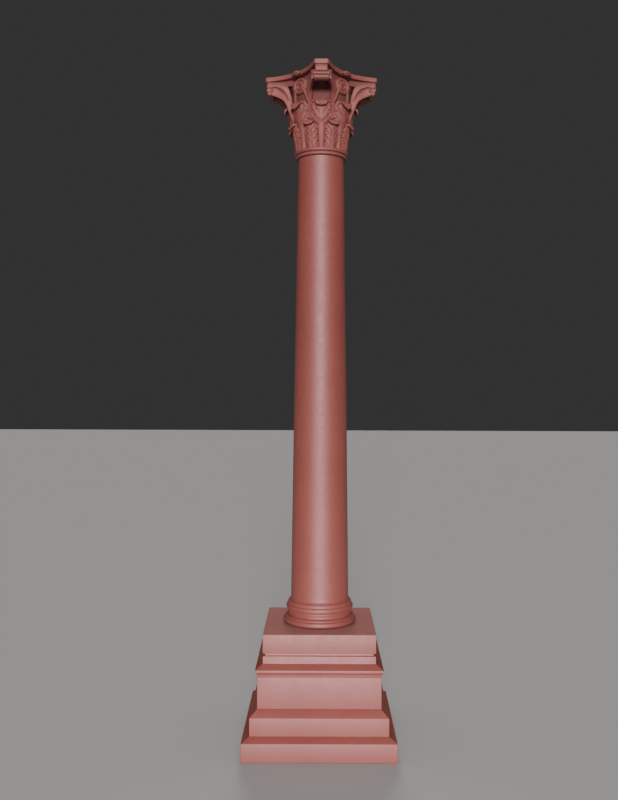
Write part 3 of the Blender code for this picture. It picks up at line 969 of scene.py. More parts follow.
@dataclass
class AcanthusLeaf:
    """One acanthus leaf.

    Its middle line hugs the bell, leans out and curls over, and its edges are cut in lobes. A rise stands
    up from the face, and a depth is cut into it. The rib is its half width at the foot and at the tip.
    The belly is its swell, its place and its spread along the leaf, and the thickness is at the foot and
    at the tip. The free, curl and fan pairs are where each starts and where it is full: along the leaf,
    by how far it leans over, and across it. The eye and the hem are a place and a spread across the leaf,
    and the groove's place is a share of the rib.
    """

    line: Array
    half_width: Array
    thick_behind: Array
    rib: tuple[float, float]
    lobes: float
    sweep: float = 0.22
    rows: int = 104
    columns: int = 41
    relief: float = 0.0050
    fall: float = 0.0130
    belly: tuple[float, float, float] = (0.0, 0.57, 0.07)
    plain_from: float = 0.75
    lobe_cut: float = 0.17
    leaflet_cut: float = 0.07
    leaflet_depth: float = 0.0026
    eye_depth: float = 0.0070
    rim_rise: float = 0.0018
    spine_rise: float = 0.0012
    groove_depth: float = 0.0026
    rib_rise: float = 0.0024
    hem_rise: float = 0.0030
    foot_draw: float = 0.0050
    thickness: tuple[float, float] = (0.0075, 0.0050)
    least_behind: float = 0.0030
    curl_ripple: float = 0.0018
    free_from: tuple[float, float] = (0.06, 0.30)
    curl_from: tuple[float, float] = (0.35, 0.95)
    fan_from: tuple[float, float] = (0.35, 0.85)
    eye_place: tuple[float, float] = (0.60, 0.10)
    hem_place: tuple[float, float] = (0.88, 0.08)
    rim_width: float = 0.0026
    spine_width: float = 0.0030
    groove_place: float = 1.28
    groove_width: float = 0.0022

    def surface(self) -> Surface:
        """The leaf standing at angle 0.

        With s the share of the way up and t from -1 to 1 across, furrows follow the lines q = s - sweep
        |t|^1.3. The edge is drawn in where a furrow meets it; between furrows the face swells by the sine
        of q's place in the lobe, a third of it again by the three leaflets of each lobe, and the rib
        stands up along the middle line.

        Returns:
            The closed leaf.
        """
        s = np.linspace(0, 1, self.rows)[:, None]
        t = np.linspace(-1, 1, self.columns)[None, :]
        t = np.sign(t) * np.abs(t) ** 0.85
        side = np.abs(t)
        knots = np.append(0, np.cumsum(np.linalg.norm(np.diff(self.line, axis=0), axis=1)))
        knots /= knots[-1]
        path = smooth_reading(s[:, 0], knots, self.line)
        slope = np.gradient(path, axis=0)
        slope /= np.linalg.norm(slope, axis=1, keepdims=True)
        out, up = slope[:, 1:2], -slope[:, :1]
        width = smooth_reading(s, knots, self.half_width)
        behind = smooth_reading(s, knots, self.thick_behind)

        free = step_up(s, *self.free_from)
        curl = step_up(1 - slope[:, 1:2], *self.curl_from)
        edge_lobe, edge_leaflet = self._swell(s - self.sweep)
        cut = self.lobe_cut * (1 - edge_lobe) ** 1.4 + self.leaflet_cut * (1 - edge_leaflet)
        cut = free * (1 - 0.8 * curl) * cut
        across = t * width * (1 - cut * side**2)
        lobe, leaflet = self._swell(s - self.sweep * side**1.3)
        rib_wide = self.rib[0] + (self.rib[1] - self.rib[0]) * s
        off = np.abs(across)
        beyond = step_up(off, rib_wide * 0.9, rib_wide * 1.6)
        fan = step_up(side, *self.fan_from) * free
        calm = 1 - 0.6 * curl
        height = -self.relief * calm * beyond * free * (1 - lobe) ** 0.8 * (0.45 + 0.55 * side)
        height -= self.leaflet_depth * fan * (1 - leaflet)
        eye = bump_at(side, *self.eye_place) * (1 - lobe) ** 6 * free * step_up(1 - s, 0.18, 0.30)
        height -= self.eye_depth * eye
        rim = bump_at(off, rib_wide, self.rim_width)
        spine = bump_at(across, 0.0, self.spine_width)
        groove = bump_at(off, rib_wide * self.groove_place, self.groove_width)
        clear = 1 - 0.8 * step_up(s, self.plain_from - 0.15, self.plain_from)
        ridge = self.rim_rise * rim + self.spine_rise * spine - self.groove_depth * groove
        height += clear * (ridge + self.rib_rise * (1 - beyond))
        hem = bump_at(side, *self.hem_place) * free * calm
        swell, middle, spread = self.belly
        height += self.hem_rise * hem + swell * bump_at(s, middle, spread) * (1 - t**2)
        height -= self.foot_draw * side**2 * (1 - free)
        droop = self.fall * (1 - 0.85 * curl) * side**2.6

        radius, level = path[:, :1], path[:, 1:]
        at_foot, at_tip = self.thickness
        thick = at_foot - (at_foot - at_tip) * s
        front = self._laid(radius, level, out, up, thick + height - droop, across)
        ripple = self.curl_ripple * curl * np.cos(4 * np.pi * t) * (1 - t**4)
        rear = np.minimum(-behind, -self.least_behind) - droop - ripple
        back = self._laid(radius, level, out, up, rear, across)
        # painted shade in the furrows, leaflet hollows, eyes, groove and curled-over tip; the back takes
        # painted shade too
        hollow = 0.55 * beyond * (1 - lobe) + 0.30 * fan * (1 - leaflet) + 0.9 * eye
        hollow = hollow + 0.6 * groove * clear + curl
        top = (0.6 * (1 - curl) - 0.25 * curl * np.cos(4 * np.pi * t)).clip(0, 1)
        return shell_between(front, back, hollow.clip(0, 1), top)

    def _swell(self, q: Array) -> tuple[Array, Array]:
        """How far the face swells at places along the leaf.

        Args:
            q: the places, as shares of the leaf's length.

        Returns:
            The swell by the lobes and by their leaflets, each from 0 in a furrow to 1 between furrows.
        """
        phase = self.lobes * q * (1 + 0.25 * q)
        lobe = np.abs(np.sin(np.pi * phase)) ** 0.7
        leaflet = np.abs(np.sin(3 * np.pi * phase)) ** 0.9
        return lobe, leaflet

    @staticmethod
    def _laid(radius: Array, level: Array, out: Array, up: Array, lift: Array, across: Array) -> Array:
        """Points in front of the middle line, wrapped across the bell at their own distance from the axis.

        Args:
            radius: the middle line's distance from the axis.
            level: its height.
            out: how far its face looks away from the axis.
            up: how far its face looks up.
            lift: how far in front of it the points lie.
            across: how far to the side they lie.

        Returns:
            The points.
        """
        from_axis = radius + out * lift
        reach = np.sqrt(np.maximum(from_axis**2 - across**2, 1e-6))
        return np.stack([reach, across + 0 * lift, level + up * lift], axis=-1)


@dataclass
class CornerScrolls:
    """The two scroll bands that run from the bell to one corner of the abacus and the front where they meet.

    The spread is the bands' distance from the corner's middle plane at distances from the axis. The
    edges, the stem and the eye are distances from the axis and heights over the soffit. The slot is its
    half width and depth at shares of its line, and the front's profile runs back from the tip and up from
    the soffit.
    """

    soffit: float
    tip: float = 0.3870
    tip_half: float = 0.0620
    thick: float = 0.0250
    bottom: float = 0.0560
    spread: tuple[tuple[float, float], ...] = (
        (0.160, 0.066), (0.180, 0.074), (0.200, 0.083), (0.220, 0.0885), (0.250, 0.086),
        (0.300, 0.073), (0.350, 0.0645), (0.387, 0.0620),
    )
    upper: tuple[tuple[float, float], ...] = (
        (0.176, -0.254), (0.195, -0.142), (0.212, -0.051), (0.229, -0.012), (0.263, 0.010),
        (0.305, 0.0195), (0.340, 0.0180), (0.358, 0.0070),
    )
    lower: tuple[tuple[float, float], ...] = (
        (0.193, -0.262), (0.229, -0.170), (0.264, -0.100), (0.292, -0.0800), (0.316, -0.0690),
        (0.337, -0.0610), (0.356, -0.0500),
    )
    stem: tuple[tuple[float, float], ...] = (
        (0.225, -0.105), (0.2440, -0.0640), (0.2640, -0.0400), (0.2900, -0.0200), (0.3200, -0.0070),
    )
    eye: tuple[float, float] = (0.3430, -0.0235)
    slot: tuple[tuple[float, float, float], ...] = (
        (0.0, 0.001, 0.001), (0.12, 0.004, 0.005), (0.33, 0.0080, 0.0120), (0.50, 0.0050, 0.0080),
        (0.60, 0.0028, 0.0036), (1.0, 0.0018, 0.0026),
    )
    front_profile: tuple[tuple[float, float], ...] = (
        (0.046, 0.004), (0.017, 0.004), (0.0150, 0.001), (0.0150, -0.0070), (0.0130, -0.0105),
        (0.0070, -0.0118), (0.0035, -0.0150), (0.0045, -0.0205), (0.0085, -0.0262), (0.0125, -0.0284),
        (0.0135, -0.0300), (0.0112, -0.0330), (0.0120, -0.0400), (0.0170, -0.0480), (0.0270, -0.0545),
        (0.0440, -0.0560),
    )
    narrowing: float = 0.20
    end_round: float = 0.0100
    fillet_width: float = 0.0050
    fillet_rise: float = 0.0022
    rim_rise: float = 0.0020
    arris: float = 0.0040
    back_reach: float = 0.62
    front_depth: float = 0.0520
    front_least: float = 0.0040
    front_taper: float = 0.92

    def slot_line(self) -> Array:
        """The middle line of the slot: from the stem along the band, then once round the scroll's eye.

        Returns:
            Rows of distance from the axis and height over the soffit.
        """
        turn = np.linspace(0, 2.3 * np.pi, 60)
        shrink = np.linspace(0.0170, 0.0040, 60)
        whorl = np.array(self.eye) + np.column_stack([shrink * 1.25 * np.sin(turn), shrink * np.cos(turn)])
        return np.vstack([along(np.array([*self.stem, tuple(whorl[0])]), 80)[:-1], whorl])

    def band(self) -> Surface:
        """One band, on the side of positive y.

        The outer face is ruled between the upper and the lower edge. It stands out by a fillet near both
        edges and falls into the slot, which opens to a lens and narrows toward the scroll's eye.

        Returns:
            The closed band.
        """
        rows, columns = 96, 36
        top, low = along(np.array(self.upper), rows), along(np.array(self.lower), rows)
        share = np.linspace(0, 1, columns)[None, :, None]
        plane = top[:, None] * (1 - share) + low[:, None] * share
        ends = np.array(self.spread)
        side = smooth_reading(plane[..., 0], ends[:, 0], ends[:, 1])
        gap, place = nearest(plane, self.slot_line())
        marks, opening, depth = np.array(self.slot).T
        opening, depth = np.interp(place, marks, opening), np.interp(place, marks, depth)
        slot = 1 - step_up(gap / opening, 0.75, 1.25)
        edge = np.minimum(nearest(plane, top)[0], nearest(plane, low)[0])
        fillet = 1 - step_up(edge, self.fillet_width, self.fillet_width + 0.0018)
        inner = bump_at(gap, opening + 0.0035, 0.0028)
        round_off = self.arris * (1 - (edge / self.arris).clip(0, 1)) ** 2
        face = side + self.fillet_rise * fillet + self.rim_rise * inner - depth * slot - round_off
        # painted shade in the slot and along a line inside the edges, and over the back
        hollow = (slot + 0.5 * bump_at(edge, 0.0085, 0.002)).clip(0, 1)
        outer = np.stack([plane[..., 0], face, plane[..., 1] + self.soffit], axis=-1)
        behind = top[:, None] * (1 - self.back_reach * share) + low[:, None] * self.back_reach * share
        rear = np.stack([behind[..., 0], side - self.thick, behind[..., 1] + self.soffit], axis=-1)
        return shell_between(outer, rear, hollow, np.full(side.shape, 0.7))

    def front(self) -> Surface:
        """The face at the corner.

        A profile that runs down, turns under and back is carried across; its width narrows downward and
        its ends are rounded off by pulling the last stretch back along a quarter circle.

        Returns:
            The closed front.
        """
        profile = along(np.array(self.front_profile), 64)
        u = np.linspace(-1, 1, 49)[None, :]
        back, rise = profile[:, :1], profile[:, 1:]
        drop = (-rise / self.bottom).clip(0, 1)
        half = self.tip_half * (1 - self.narrowing * drop**1.5)
        past = ((np.abs(u) * half - (half - self.end_round)) / self.end_round).clip(0, 1)
        back = back + self.end_round * (1 - np.sqrt(1 - past**2 * 0.999))
        # painted shade in the quirk line between the rolls and on the top under the abacus; the back takes
        # painted shade too
        quirk = bump_at(rise, -0.0298, 0.0018) + step_up(rise, -0.0110, -0.0085)
        hollow = np.broadcast_to(quirk, (len(profile), u.size))
        face = np.stack([self.tip - back, u * half, rise + self.soffit + 0 * u], axis=-1)
        inward = np.minimum(self.tip - self.front_depth, face[..., 0] - self.front_least)
        rear = np.stack([inward, self.front_taper * face[..., 1], face[..., 2]], axis=-1)
        return shell_between(face, rear, hollow, np.full(hollow.shape, 0.5))

    def surface(self) -> Surface:
        """Both bands and the front, at the corner on the +X side."""
        band = self.band()
        return Surface.joined([band, band.mirrored(), self.front()])


@dataclass
class HelixKnot:
    """The round knot under a fleuron, where two inner scrolls meet, with the stems that carry it.

    The rim is where its half round starts and how wide it is, as shares of the radius. The stem's points
    are a distance from the axis, an angle in degrees from the side's middle and a height.
    """

    centre: float = 0.4690
    radius: float = 0.0570
    widening: float = 1.12
    face: float = 0.2160
    depth: float = 0.0460
    back_share: float = 0.86
    rim: tuple[float, float] = (0.86, 0.14)
    rim_drop: float = 0.0160
    bowl_rise: float = 0.0040
    ridge_depth: float = 0.0095
    windings: float = 2.35
    wound_in: float = 0.62
    seam_depth: float = 0.0020
    eye_depth: float = 0.0140
    stem_radii: tuple[float, float] = (0.0085, 0.0105)
    stem_points: tuple[tuple[float, float, float], ...] = (
        (0.184, 22.5, 0.268), (0.195, 20.0, 0.335), (0.205, 15.5, 0.392), (0.212, 11.0, 0.440),
    )

    def disc(self) -> Surface:
        """The knot.

        Rings of points about its own axis, out along the column's radius. The rim is a half round; inside
        it the face is a double scroll, a ridge whose distance from the eye shrinks with the turn on both
        sides alike.

        Returns:
            The closed knot.
        """
        share = np.concatenate([np.linspace(0.0, 0.30, 10), np.linspace(0.30, 1.0, 44)[1:]])[:, None]
        turn = np.linspace(0, 2 * np.pi, 96, endpoint=False)[None, :]
        fold = np.abs((turn + np.pi / 2 + np.pi) % (2 * np.pi) - np.pi) / np.pi
        ridge = np.abs(np.sin(np.pi * (share * self.windings - self.wound_in * fold))) ** 0.7
        bowl = self.bowl_rise * step_up(share, 0.25, 0.75)
        start, wide = self.rim
        rim = np.sqrt(np.maximum(1 - ((share - start) / wide).clip(0, 1) ** 2, 0))
        seam = bump_at(np.cos(turn), 0.0, 0.05) * step_up(share, 0.32, 0.50)
        eye = 1 - step_up(share, 0.10, 0.17)
        inner = self.ridge_depth * (ridge - 1) * (1 - step_up(share, start, 0.93)) - self.seam_depth * seam
        out = self.face - self.bowl_rise + bowl + inner - self.eye_depth * eye - self.rim_drop * (1 - rim)
        lateral = self.radius * self.widening * share * np.cos(turn)
        rise = self.radius * share * np.sin(turn)
        face = np.stack([out, lateral, rise + self.centre], axis=-1)
        # painted shade along the scroll's groove, in its eye and seam, and on the back wall
        hollow = 0.45 * (1 - ridge) * (1 - step_up(share, start, 0.95)) + 0.8 * eye + 0.3 * seam
        wall = np.stack([
            np.full(turn.shape, self.face - self.depth),
            self.back_share * lateral[-1:],
            self.back_share * rise[-1:] + self.centre,
        ], axis=-1)
        points = np.concatenate([face[1:], wall])
        hollow = np.concatenate([hollow[1:].clip(0, 1), np.full(turn.shape, 0.6)])
        return Surface.grid(points, hollow, ring=True).ended(turn.size)

    def stems(self) -> Surface:
        """The two fluted stems, from the stalks beside the leaves up under the knot.

        Returns:
            The closed stems.
        """
        scale = (1, 0.01, 1)
        count = 28
        read = along(np.array(self.stem_points) * scale, count) / scale
        turn = np.radians(read[:, 1])
        path = np.column_stack([read[:, 0] * np.cos(turn), read[:, 0] * np.sin(turn), read[:, 2]])
        stem = tube_surface(path, np.linspace(*self.stem_radii, count), 25, flute=0.10, flutes=5)
        return Surface.joined([stem, stem.mirrored()])

    def surface(self) -> Surface:
        """The knot and its stems, standing at angle 0."""
        return Surface.joined([self.disc(), self.stems()])


@dataclass
class Abacus:
    """The abacus: hollow sides, cut corners, a hollowed lower band and a crown that stands over it.

    The crown's and the band's plans are how far the cut corner is from the axis, half the cut's width and
    how far the middle of a side is from the axis. A level is the share of the way from the band's plan to
    the crown's, and its rise over the soffit.
    """

    soffit: float
    crown: tuple[float, float, float] = (0.3890, 0.0485, 0.2320)
    band: tuple[float, float, float] = (0.3810, 0.0430, 0.1960)
    rise: float = 0.0710
    band_levels: tuple[tuple[float, float], ...] = (
        (0.00, 0.000), (0.00, 0.004), (0.00, 0.018), (0.00, 0.034), (0.04, 0.0360), (0.10, 0.0375),
        (0.11, 0.0400), (0.30, 0.0405), (0.60, 0.0412), (0.82, 0.0420), (0.86, 0.0428),
    )
    ovolo_start: tuple[float, float] = (0.86, 0.0436)
    ovolo_size: tuple[float, float] = (0.14, 0.0120)
    crown_levels: tuple[tuple[float, float], ...] = (
        (1.0, 0.0570), (0.97, 0.0574), (0.97, 0.0584), (1.0, 0.0588),
    )
    top_arris: tuple[tuple[float, float], ...] = ((1.0, 0.0025), (0.965, 0.0008), (0.93, 0.0))

    @staticmethod
    def outline(tip: float, chamfer: float, middle: float) -> Array:
        """The plan of one level.

        Each hollow side is the arc through two corner points and a middle point; the arcs' ends are
        joined by the corner cuts, and the plan's arrises are eased by averaging each point with its
        neighbours.

        Args:
            tip: how far the cut corner is from the axis.
            chamfer: half the width of the cut.
            middle: how far the middle of a side is from the axis.

        Returns:
            The plan's points, anticlockwise.
        """
        chord, half = (tip + chamfer) / np.sqrt(2), (tip - chamfer) / np.sqrt(2)
        bend = 2 * np.arctan2(chord - middle, half)
        radius = half / np.sin(bend)
        turn = np.linspace(-bend, bend, 61)
        side = np.column_stack([middle + radius * (1 - np.cos(turn)), radius * np.sin(turn)])
        share = np.concatenate([[0.04, 0.10], np.linspace(0.16, 0.84, 16), [0.90, 0.96]])[:, None]
        loops = []
        for k in range(4):
            angle = np.pi / 4 + k * np.pi / 2
            c, s = np.cos(angle), np.sin(angle)
            arc = side @ np.array([[c, s], [-s, c]])
            next_start = side[0] @ np.array([[-s, c], [-c, -s]])
            loops.append(np.vstack([arc, arc[-1] + share * (next_start - arc[-1])]))
        plan = np.vstack(loops)
        for _ in range(5):
            plan = 0.5 * plan + 0.25 * (np.roll(plan, 1, axis=0) + np.roll(plan, -1, axis=0))
        return plan

    def levels(self) -> list[tuple[float, float]]:
        """The levels from the soffit up: the hollowed band, a quarter round, the crown and its eased top.

        Returns:
            Each level's share and rise.
        """
        (share, rise), (wide, high) = self.ovolo_start, self.ovolo_size
        turn = np.linspace(0, 1, 9) * np.pi / 2
        ovolo = [(share + wide * np.sin(a), rise + high * (1 - np.cos(a))) for a in turn]
        top = [(share, self.rise - below) for share, below in self.top_arris]
        return [*self.band_levels, *ovolo, *self.crown_levels, *top]

    def surface(self) -> Surface:
        """The abacus, its levels blended between the band's plan and the crown's.

        Returns:
            The closed abacus.
        """
        low_plan, high_plan = self.outline(*self.band), self.outline(*self.crown)
        rings, hollow = [], []
        for share, rise in self.levels():
            plan = low_plan * (1 - share) + high_plan * share
            rings.append(np.column_stack([plan, np.full(len(plan), self.soffit + rise)]))
            far = np.linalg.norm(plan, axis=1)
            # painted shade on the band's upper part under the crown and on its recessed middles, none on the
            # crown
            under = np.maximum(step_up(rise, 0.022, 0.036), 0.8 * (1 - step_up(far, 0.25, 0.36)))
            hollow.append(0.9 * under * (1 - step_up(share, 0.80, 0.90)))
        return Surface.grid(np.stack(rings), np.stack(hollow), ring=True).ended(len(low_plan))


@dataclass
class Fleuron:
    """The flower on the middle of an abacus side.

    What falls and rises on its face is a share of its half depth.
    """

    centre: float = 0.5460
    out: float = 0.2450
    half_width: float = 0.0370
    half_height: float = 0.0185
    half_depth: float = 0.0240
    petal_fall: float = 0.16
    vein_depth: float = 0.07
    moat_depth: float = 0.30
    heart_rise: float = 0.04

    def surface(self) -> Surface:
        """A flattened ball whose size ripples in six petals, each with a groove, about a raised heart.

        Returns:
            The closed flower, standing at angle 0.
        """
        swing = np.linspace(0.02, np.pi - 0.02, 60)[:, None]
        turn = np.linspace(0, 2 * np.pi, 96, endpoint=False)[None, :]
        face = step_up(-np.cos(swing), 0.0, 0.3)
        petal = np.abs(np.cos(3 * turn)) ** 0.6
        vein = bump_at(np.sin(3 * turn), 0.0, 0.25)
        size = np.sin(swing) * (0.84 + 0.16 * petal)
        heart = 1 - step_up(size, 0.18, 0.34)
        moat = bump_at(size, 0.34, 0.09)
        depth = -np.cos(swing) - self.petal_fall * face * (1 - petal) * (1 - heart)
        depth -= self.vein_depth * face * vein * (1 - heart)
        depth -= self.moat_depth * moat * face - self.heart_rise * heart * face
        points = np.stack([
            self.out + self.half_depth * depth,
            self.half_width * size * np.cos(turn),
            self.centre + self.half_height * size * np.sin(turn),
        ], axis=-1)
        # painted shade between the petals and in the moat round the heart
        hollow = (face * (1 - petal) * 0.8 + moat * 0.8).clip(0, 1)
        return Surface.grid(points, hollow, ring=True).ended(turn.size)


@dataclass
class Capital:
    """The capital, carved from one block: bell, leaves, stalks, scrolls, knots, abacus and fleurons.

    The ring and the collar are a radius and a rise. The lip's levels are from the bell's top, and those
    of the quirk from the ring's. Heights are over the capital's bed.
    """

    finish: bpy.types.Material
    bed: float = 4.0139
    ring: tuple[float, float] = (0.1810, 0.0240)
    collar: tuple[float, float] = (0.1850, 0.0260)
    ring_round: float = 0.0090
    collar_round: float = 0.0100
    soffit: float = 0.4940
    bell_radii: tuple[float, float] = (0.1680, 0.2140)
    bell_top: float = 0.4945
    bell_below: float = 0.0220
    lip_out: float = 0.0060
    lip_levels: tuple[float, float] = (-0.0140, 0.0060)
    quirk_in: float = 0.0080
    quirk_levels: tuple[float, float] = (-0.0015, 0.0005)
    leaf_count: int = 8
    sides: int = 192

    def bell(self) -> Surface:
        """The core, turned: a ring, a larger collar and a bell.

        The bell widens as its height's share to the power 1.5.

        Returns:
            The closed core, darker in the shade under the scrolls.
        """
        turn = np.linspace(-np.pi / 2, np.pi / 2, 17)
        round_up = (1 + np.sign(np.sin(turn)) * np.abs(np.sin(turn)) ** 0.8) / 2
        widest, rise = self.ring
        core = widest - self.ring_round
        ring = np.column_stack([core + self.ring_round * np.cos(turn), (rise - 0.002) * round_up])
        quirk = [(widest - self.quirk_in, rise + level) for level in self.quirk_levels]
        out, step = self.collar
        ledge = rise + step
        core = out - self.collar_round
        up = rise + 0.001 + (step - 0.001) * round_up
        collar = np.column_stack([core + self.collar_round * np.cos(turn), up])
        share = np.linspace(0, 1, 25)
        foot, lip = self.bell_radii
        flare = foot + (lip - self.lip_out - foot) * share**1.5
        bell = np.column_stack([flare, ledge + 0.001 + (self.bell_top - self.bell_below - ledge) * share])
        edge = [(lip, self.bell_top + level) for level in self.lip_levels]
        shape = turned_surface(np.vstack([ring, quirk, collar, bell, edge]), self.sides)
        height = shape.points[:, 2]
        shaded = 0.45 * step_up(height, ledge, ledge + 0.004) + 0.75 * step_up(height, 0.29, 0.40)
        shape.hollow = (shaded + bump_at(height, rise, 0.0012)).clip(0, 1)
        return shape

    def lower_leaf(self) -> AcanthusLeaf:
        """A leaf of the lower row.

        Returns:
            The leaf.
        """
        rows = np.array([
            # out, up, half width, thickness behind
            (0.174, 0.042, 0.040, 0.020), (0.181, 0.075, 0.046, 0.024), (0.187, 0.108, 0.050, 0.028),
            (0.193, 0.140, 0.051, 0.032), (0.1985, 0.168, 0.049, 0.012), (0.2035, 0.190, 0.046, 0.007),
            (0.2090, 0.2060, 0.041, 0.006), (0.2160, 0.2125, 0.040, 0.006), (0.2240, 0.2115, 0.038, 0.006),
            (0.2290, 0.2055, 0.035, 0.005), (0.2295, 0.1980, 0.028, 0.004), (0.2280, 0.1930, 0.014, 0.003),
        ])
        return AcanthusLeaf(rows[:, :2], rows[:, 2], rows[:, 3], rib=(0.011, 0.005), lobes=4.6, relief=0.0045)

    def upper_leaf(self) -> AcanthusLeaf:
        """A leaf of the upper row, a narrow stem between the lower leaves and broad above them.

        Returns:
            The leaf.
        """
        rows = np.array([
            (0.173, 0.042, 0.025, 0.020), (0.177, 0.090, 0.026, 0.022), (0.184, 0.145, 0.030, 0.026),
            (0.193, 0.190, 0.048, 0.034), (0.203, 0.226, 0.076, 0.042), (0.211, 0.256, 0.078, 0.046),
            (0.2180, 0.287, 0.071, 0.014), (0.2245, 0.313, 0.061, 0.008), (0.2315, 0.3335, 0.050, 0.007),
            (0.2400, 0.3430, 0.046, 0.007), (0.2485, 0.3400, 0.044, 0.006), (0.2530, 0.3290, 0.040, 0.005),
            (0.2525, 0.3170, 0.030, 0.004), (0.2500, 0.3100, 0.013, 0.003),
        ])
        return AcanthusLeaf(
            rows[:, :2], rows[:, 2], rows[:, 3], rib=(0.019, 0.006), lobes=5.4, rows=120,
            belly=(0.007, 0.57, 0.07), plain_from=0.55,
        )

    def stalk(self) -> Surface:
        """The fluted stalk between two upper leaves, which widens upward and has a collar near its top.

        Returns:
            The closed stalk.
        """
        points = np.array([
            (0.172, 0.0, 0.130), (0.180, 0.0, 0.220), (0.188, 0.0, 0.270), (0.194, 0.0, 0.300),
        ])
        count = 40
        share = np.linspace(0, 1, count)
        radii = 0.0125 + 0.0085 * step_up(share, 0.45, 0.95) - 0.006 * step_up(share, 0.95, 1.0)
        radii = radii + 0.004 * bump_at(share, 0.80, 0.035)
        return tube_surface(along(points, count), radii, 30, flute=0.07, flutes=6)

    def calyx(self) -> Surface:
        """The two fluted leaves that open from a stalk.

        One leans toward the knot, the other toward the corner scroll. Each is a flattened tube that widens,
        narrows and curls over.

        Returns:
            The closed leaves.
        """
        aside = np.array([
            (0.194, 0.004, 0.262), (0.202, 0.014, 0.292), (0.210, 0.028, 0.320), (0.219, 0.040, 0.342),
            (0.227, 0.047, 0.351), (0.232, 0.050, 0.345), (0.231, 0.051, 0.335),
        ])
        ahead = np.array([
            (0.194, -0.004, 0.262), (0.203, -0.012, 0.294), (0.213, -0.022, 0.322), (0.223, -0.030, 0.342),
            (0.231, -0.034, 0.349), (0.236, -0.036, 0.343), (0.235, -0.036, 0.333),
        ])
        count = 60
        knots = np.array([0.0, 0.25, 0.60, 0.85, 1.0])
        widths = np.array([0.009, 0.017, 0.018, 0.013, 0.003])
        wide = smooth_reading(np.linspace(0, 1, count), knots, widths)
        return Surface.joined([
            tube_surface(along(line, count), wide, 40, flute=0.10, flutes=7, flat=0.42)
            for line in (aside, ahead)
        ])

    def build(self) -> None:
        """Adds the capital's surfaces in seven pieces, all standing for the one solid."""
        step = np.pi / self.leaf_count
        middle = np.pi / 4
        count = self.leaf_count
        stalks, calyx = self.stalk().around(count, step), self.calyx()
        calyxes = [calyx.around(4, step), calyx.mirrored().around(4, -step)]
        abacus = [Abacus(self.soffit).surface(), Fleuron().surface().around(4, middle)]
        pieces = {
            "capital_bell": (Surface.joined([self.bell(), stalks]), 40),
            "capital_calyxes": (Surface.joined(calyxes), 60),
            "capital_lower_leaves": (self.lower_leaf().surface().around(count, step), 60),
            "capital_upper_leaves": (self.upper_leaf().surface().around(count), 60),
            "capital_scrolls": (CornerScrolls(self.soffit).surface().around(4), 50),
            "capital_knots": (HelixKnot().surface().around(4, middle), 50),
            "capital_abacus": (Surface.joined(abacus), 40),
        }
        for name, (shape, crease) in pieces.items():
            add_piece(name, shape.raised(self.bed), self.finish, "capital", crease)


# Studio


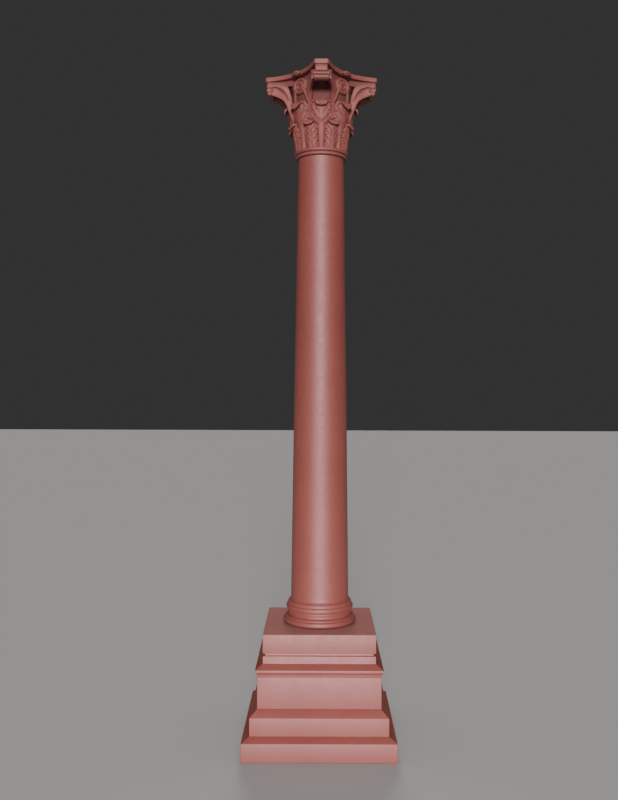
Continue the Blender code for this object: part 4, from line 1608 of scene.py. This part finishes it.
@dataclass
class Studio:
    """A pale floor, a level camera where the photograph's stood, and plain soft light from its side."""

    distance: float = 6.0205
    eye: float = 2.3366
    lens: float = 38.6
    sensor: float = 36.0
    shift: float = -11.3 / 800
    roll: float = -0.0034
    floor_half: float = 60.0
    floor_colour: tuple[float, float, float] = (0.44, 0.43, 0.42)
    sky_colour: tuple[float, float, float] = (0.80, 0.80, 0.82)
    sky_strength: float = 0.048
    panel_beam: float = 55.0

    def camera(self) -> None:
        """Makes the camera: level, on the pedestal's middle plane, its frame moved a little to one side."""
        camera = bpy.data.objects.new("camera", bpy.data.cameras.new("camera"))
        camera.data.lens = self.lens
        camera.data.sensor_width = self.sensor
        camera.data.shift_x = self.shift
        camera.location = (0.0, -self.distance, self.eye)
        camera.rotation_euler = (np.pi / 2, self.roll, 0.0)
        bpy.context.scene.collection.objects.link(camera)
        bpy.context.scene.camera = camera

    def floor(self) -> None:
        """Makes the pale floor, a plain matt sheet under the column."""
        half = self.floor_half
        corners = [(-half, -half, 0), (half, -half, 0), (half, half, 0), (-half, half, 0)]
        mesh = bpy.data.meshes.new("floor")
        mesh.from_pydata(corners, [], [(0, 1, 2, 3)])
        pale = bpy.data.materials.new("pale floor")
        pale.use_nodes = True
        shader = pale.node_tree.nodes["Principled BSDF"]
        shader.inputs["Base Color"].default_value = (*self.floor_colour, 1)
        shader.inputs["Roughness"].default_value = 1.0
        shader.inputs["Specular IOR Level"].default_value = 0.0
        mesh.materials.append(pale)
        floor = bpy.data.objects.new("floor", mesh)
        bpy.context.scene.collection.objects.link(floor)

    def panel(self, name: str, place: Vector, aim: Vector, size: tuple[float, float], power: float) -> None:
        """Makes one rectangular soft light with a narrow beam.

        Args:
            name: the light's name.
            place: where it stands.
            aim: where it points.
            size: its width and height.
            power: its power in watts.
        """
        light = bpy.data.lights.new(name, "AREA")
        light.shape = "RECTANGLE"
        light.size, light.size_y = size
        light.spread = np.radians(self.panel_beam)
        light.energy = power
        lamp = bpy.data.objects.new(name, light)
        lamp.visible_camera = False
        lamp.location = place
        lamp.rotation_euler = (aim - place).to_track_quat("-Z", "Y").to_euler()
        bpy.context.scene.collection.objects.link(lamp)

    def sun(
        self, name: str, azimuth: float, elevation: float, spread: float, strength: float, glossy: bool
    ) -> None:
        """Makes one broad far light.

        Args:
            name: the light's name.
            azimuth: where it stands, in degrees from the front (-Y) toward +X.
            elevation: degrees above the horizon.
            spread: its width in the sky, in degrees.
            strength: its power.
            glossy: whether it shows as a sheen on the stone.
        """
        light = bpy.data.lights.new(name, "SUN")
        light.energy = strength
        light.angle = np.radians(spread)
        lamp = bpy.data.objects.new(name, light)
        turn, rise = np.radians(azimuth), np.radians(elevation)
        toward = Vector((np.sin(turn) * np.cos(rise), -np.cos(turn) * np.cos(rise), np.sin(rise)))
        lamp.rotation_euler = toward.to_track_quat("Z", "Y").to_euler()
        lamp.visible_glossy = glossy
        bpy.context.scene.collection.objects.link(lamp)

    def light(self) -> None:
        """Lights the column from the camera's side and from behind, and faintly from the sides and above.

        A low panel in front adds to the upright faces of the pedestal.
        """
        self.sun("front light", 0.0, 8.0, 13.0, 3.45, glossy=True)
        self.sun("left light", -115.0, 68.0, 40.0, 0.26, glossy=False)
        self.sun("right light", 115.0, 68.0, 40.0, 0.26, glossy=False)
        self.sun("top light", 0.0, 88.0, 30.0, 0.50, glossy=False)
        self.sun("rear light", 180.0, 22.0, 20.0, 1.80, glossy=False)
        self.panel("low light", Vector((0.0, -4.6, 0.42)), Vector((0.0, 0.0, 0.35)), (2.4, 0.36), 9)
        sky = bpy.data.worlds.new("sky")
        sky.use_nodes = True
        shade = sky.node_tree.nodes["Background"]
        shade.inputs["Color"].default_value = (*self.sky_colour, 1)
        shade.inputs["Strength"].default_value = self.sky_strength
        bpy.context.scene.world = sky

    def build(self) -> None:
        """Sets up the whole studio."""
        self.camera()
        self.floor()
        self.light()


def main() -> None:
    """Builds the column's pieces in order, from the ground up, and the studio round them."""
    logging.basicConfig(level=logging.INFO, format="%(message)s")
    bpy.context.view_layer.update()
    groups = StoneGroups()
    honed = StoneFinish("honed red stone", Dressing.HONED, wear=0.35).material(groups)
    turned = StoneFinish(
        "turned red stone", Dressing.TURNED, wear=0.25, grain_depth=0.0004, mark_height=0.05
    ).material(groups)
    # the carved stone takes stronger painted shade in its hollows
    carved = StoneFinish(
        "carved red stone", Dressing.CARVED, rough=(0.60, 0.70), hollow_shade_amount=0.85, wear=0.45,
        stroke_stretch=(1.0, 1.0, 0.25), mark_height=0.5,
    ).material(groups)
    Pedestal(honed).build()
    TurnedBase(turned).build()
    TurnedShaft(turned).build()
    Capital(carved).build()
    Studio().build()


if __name__ == "__main__":
    main()
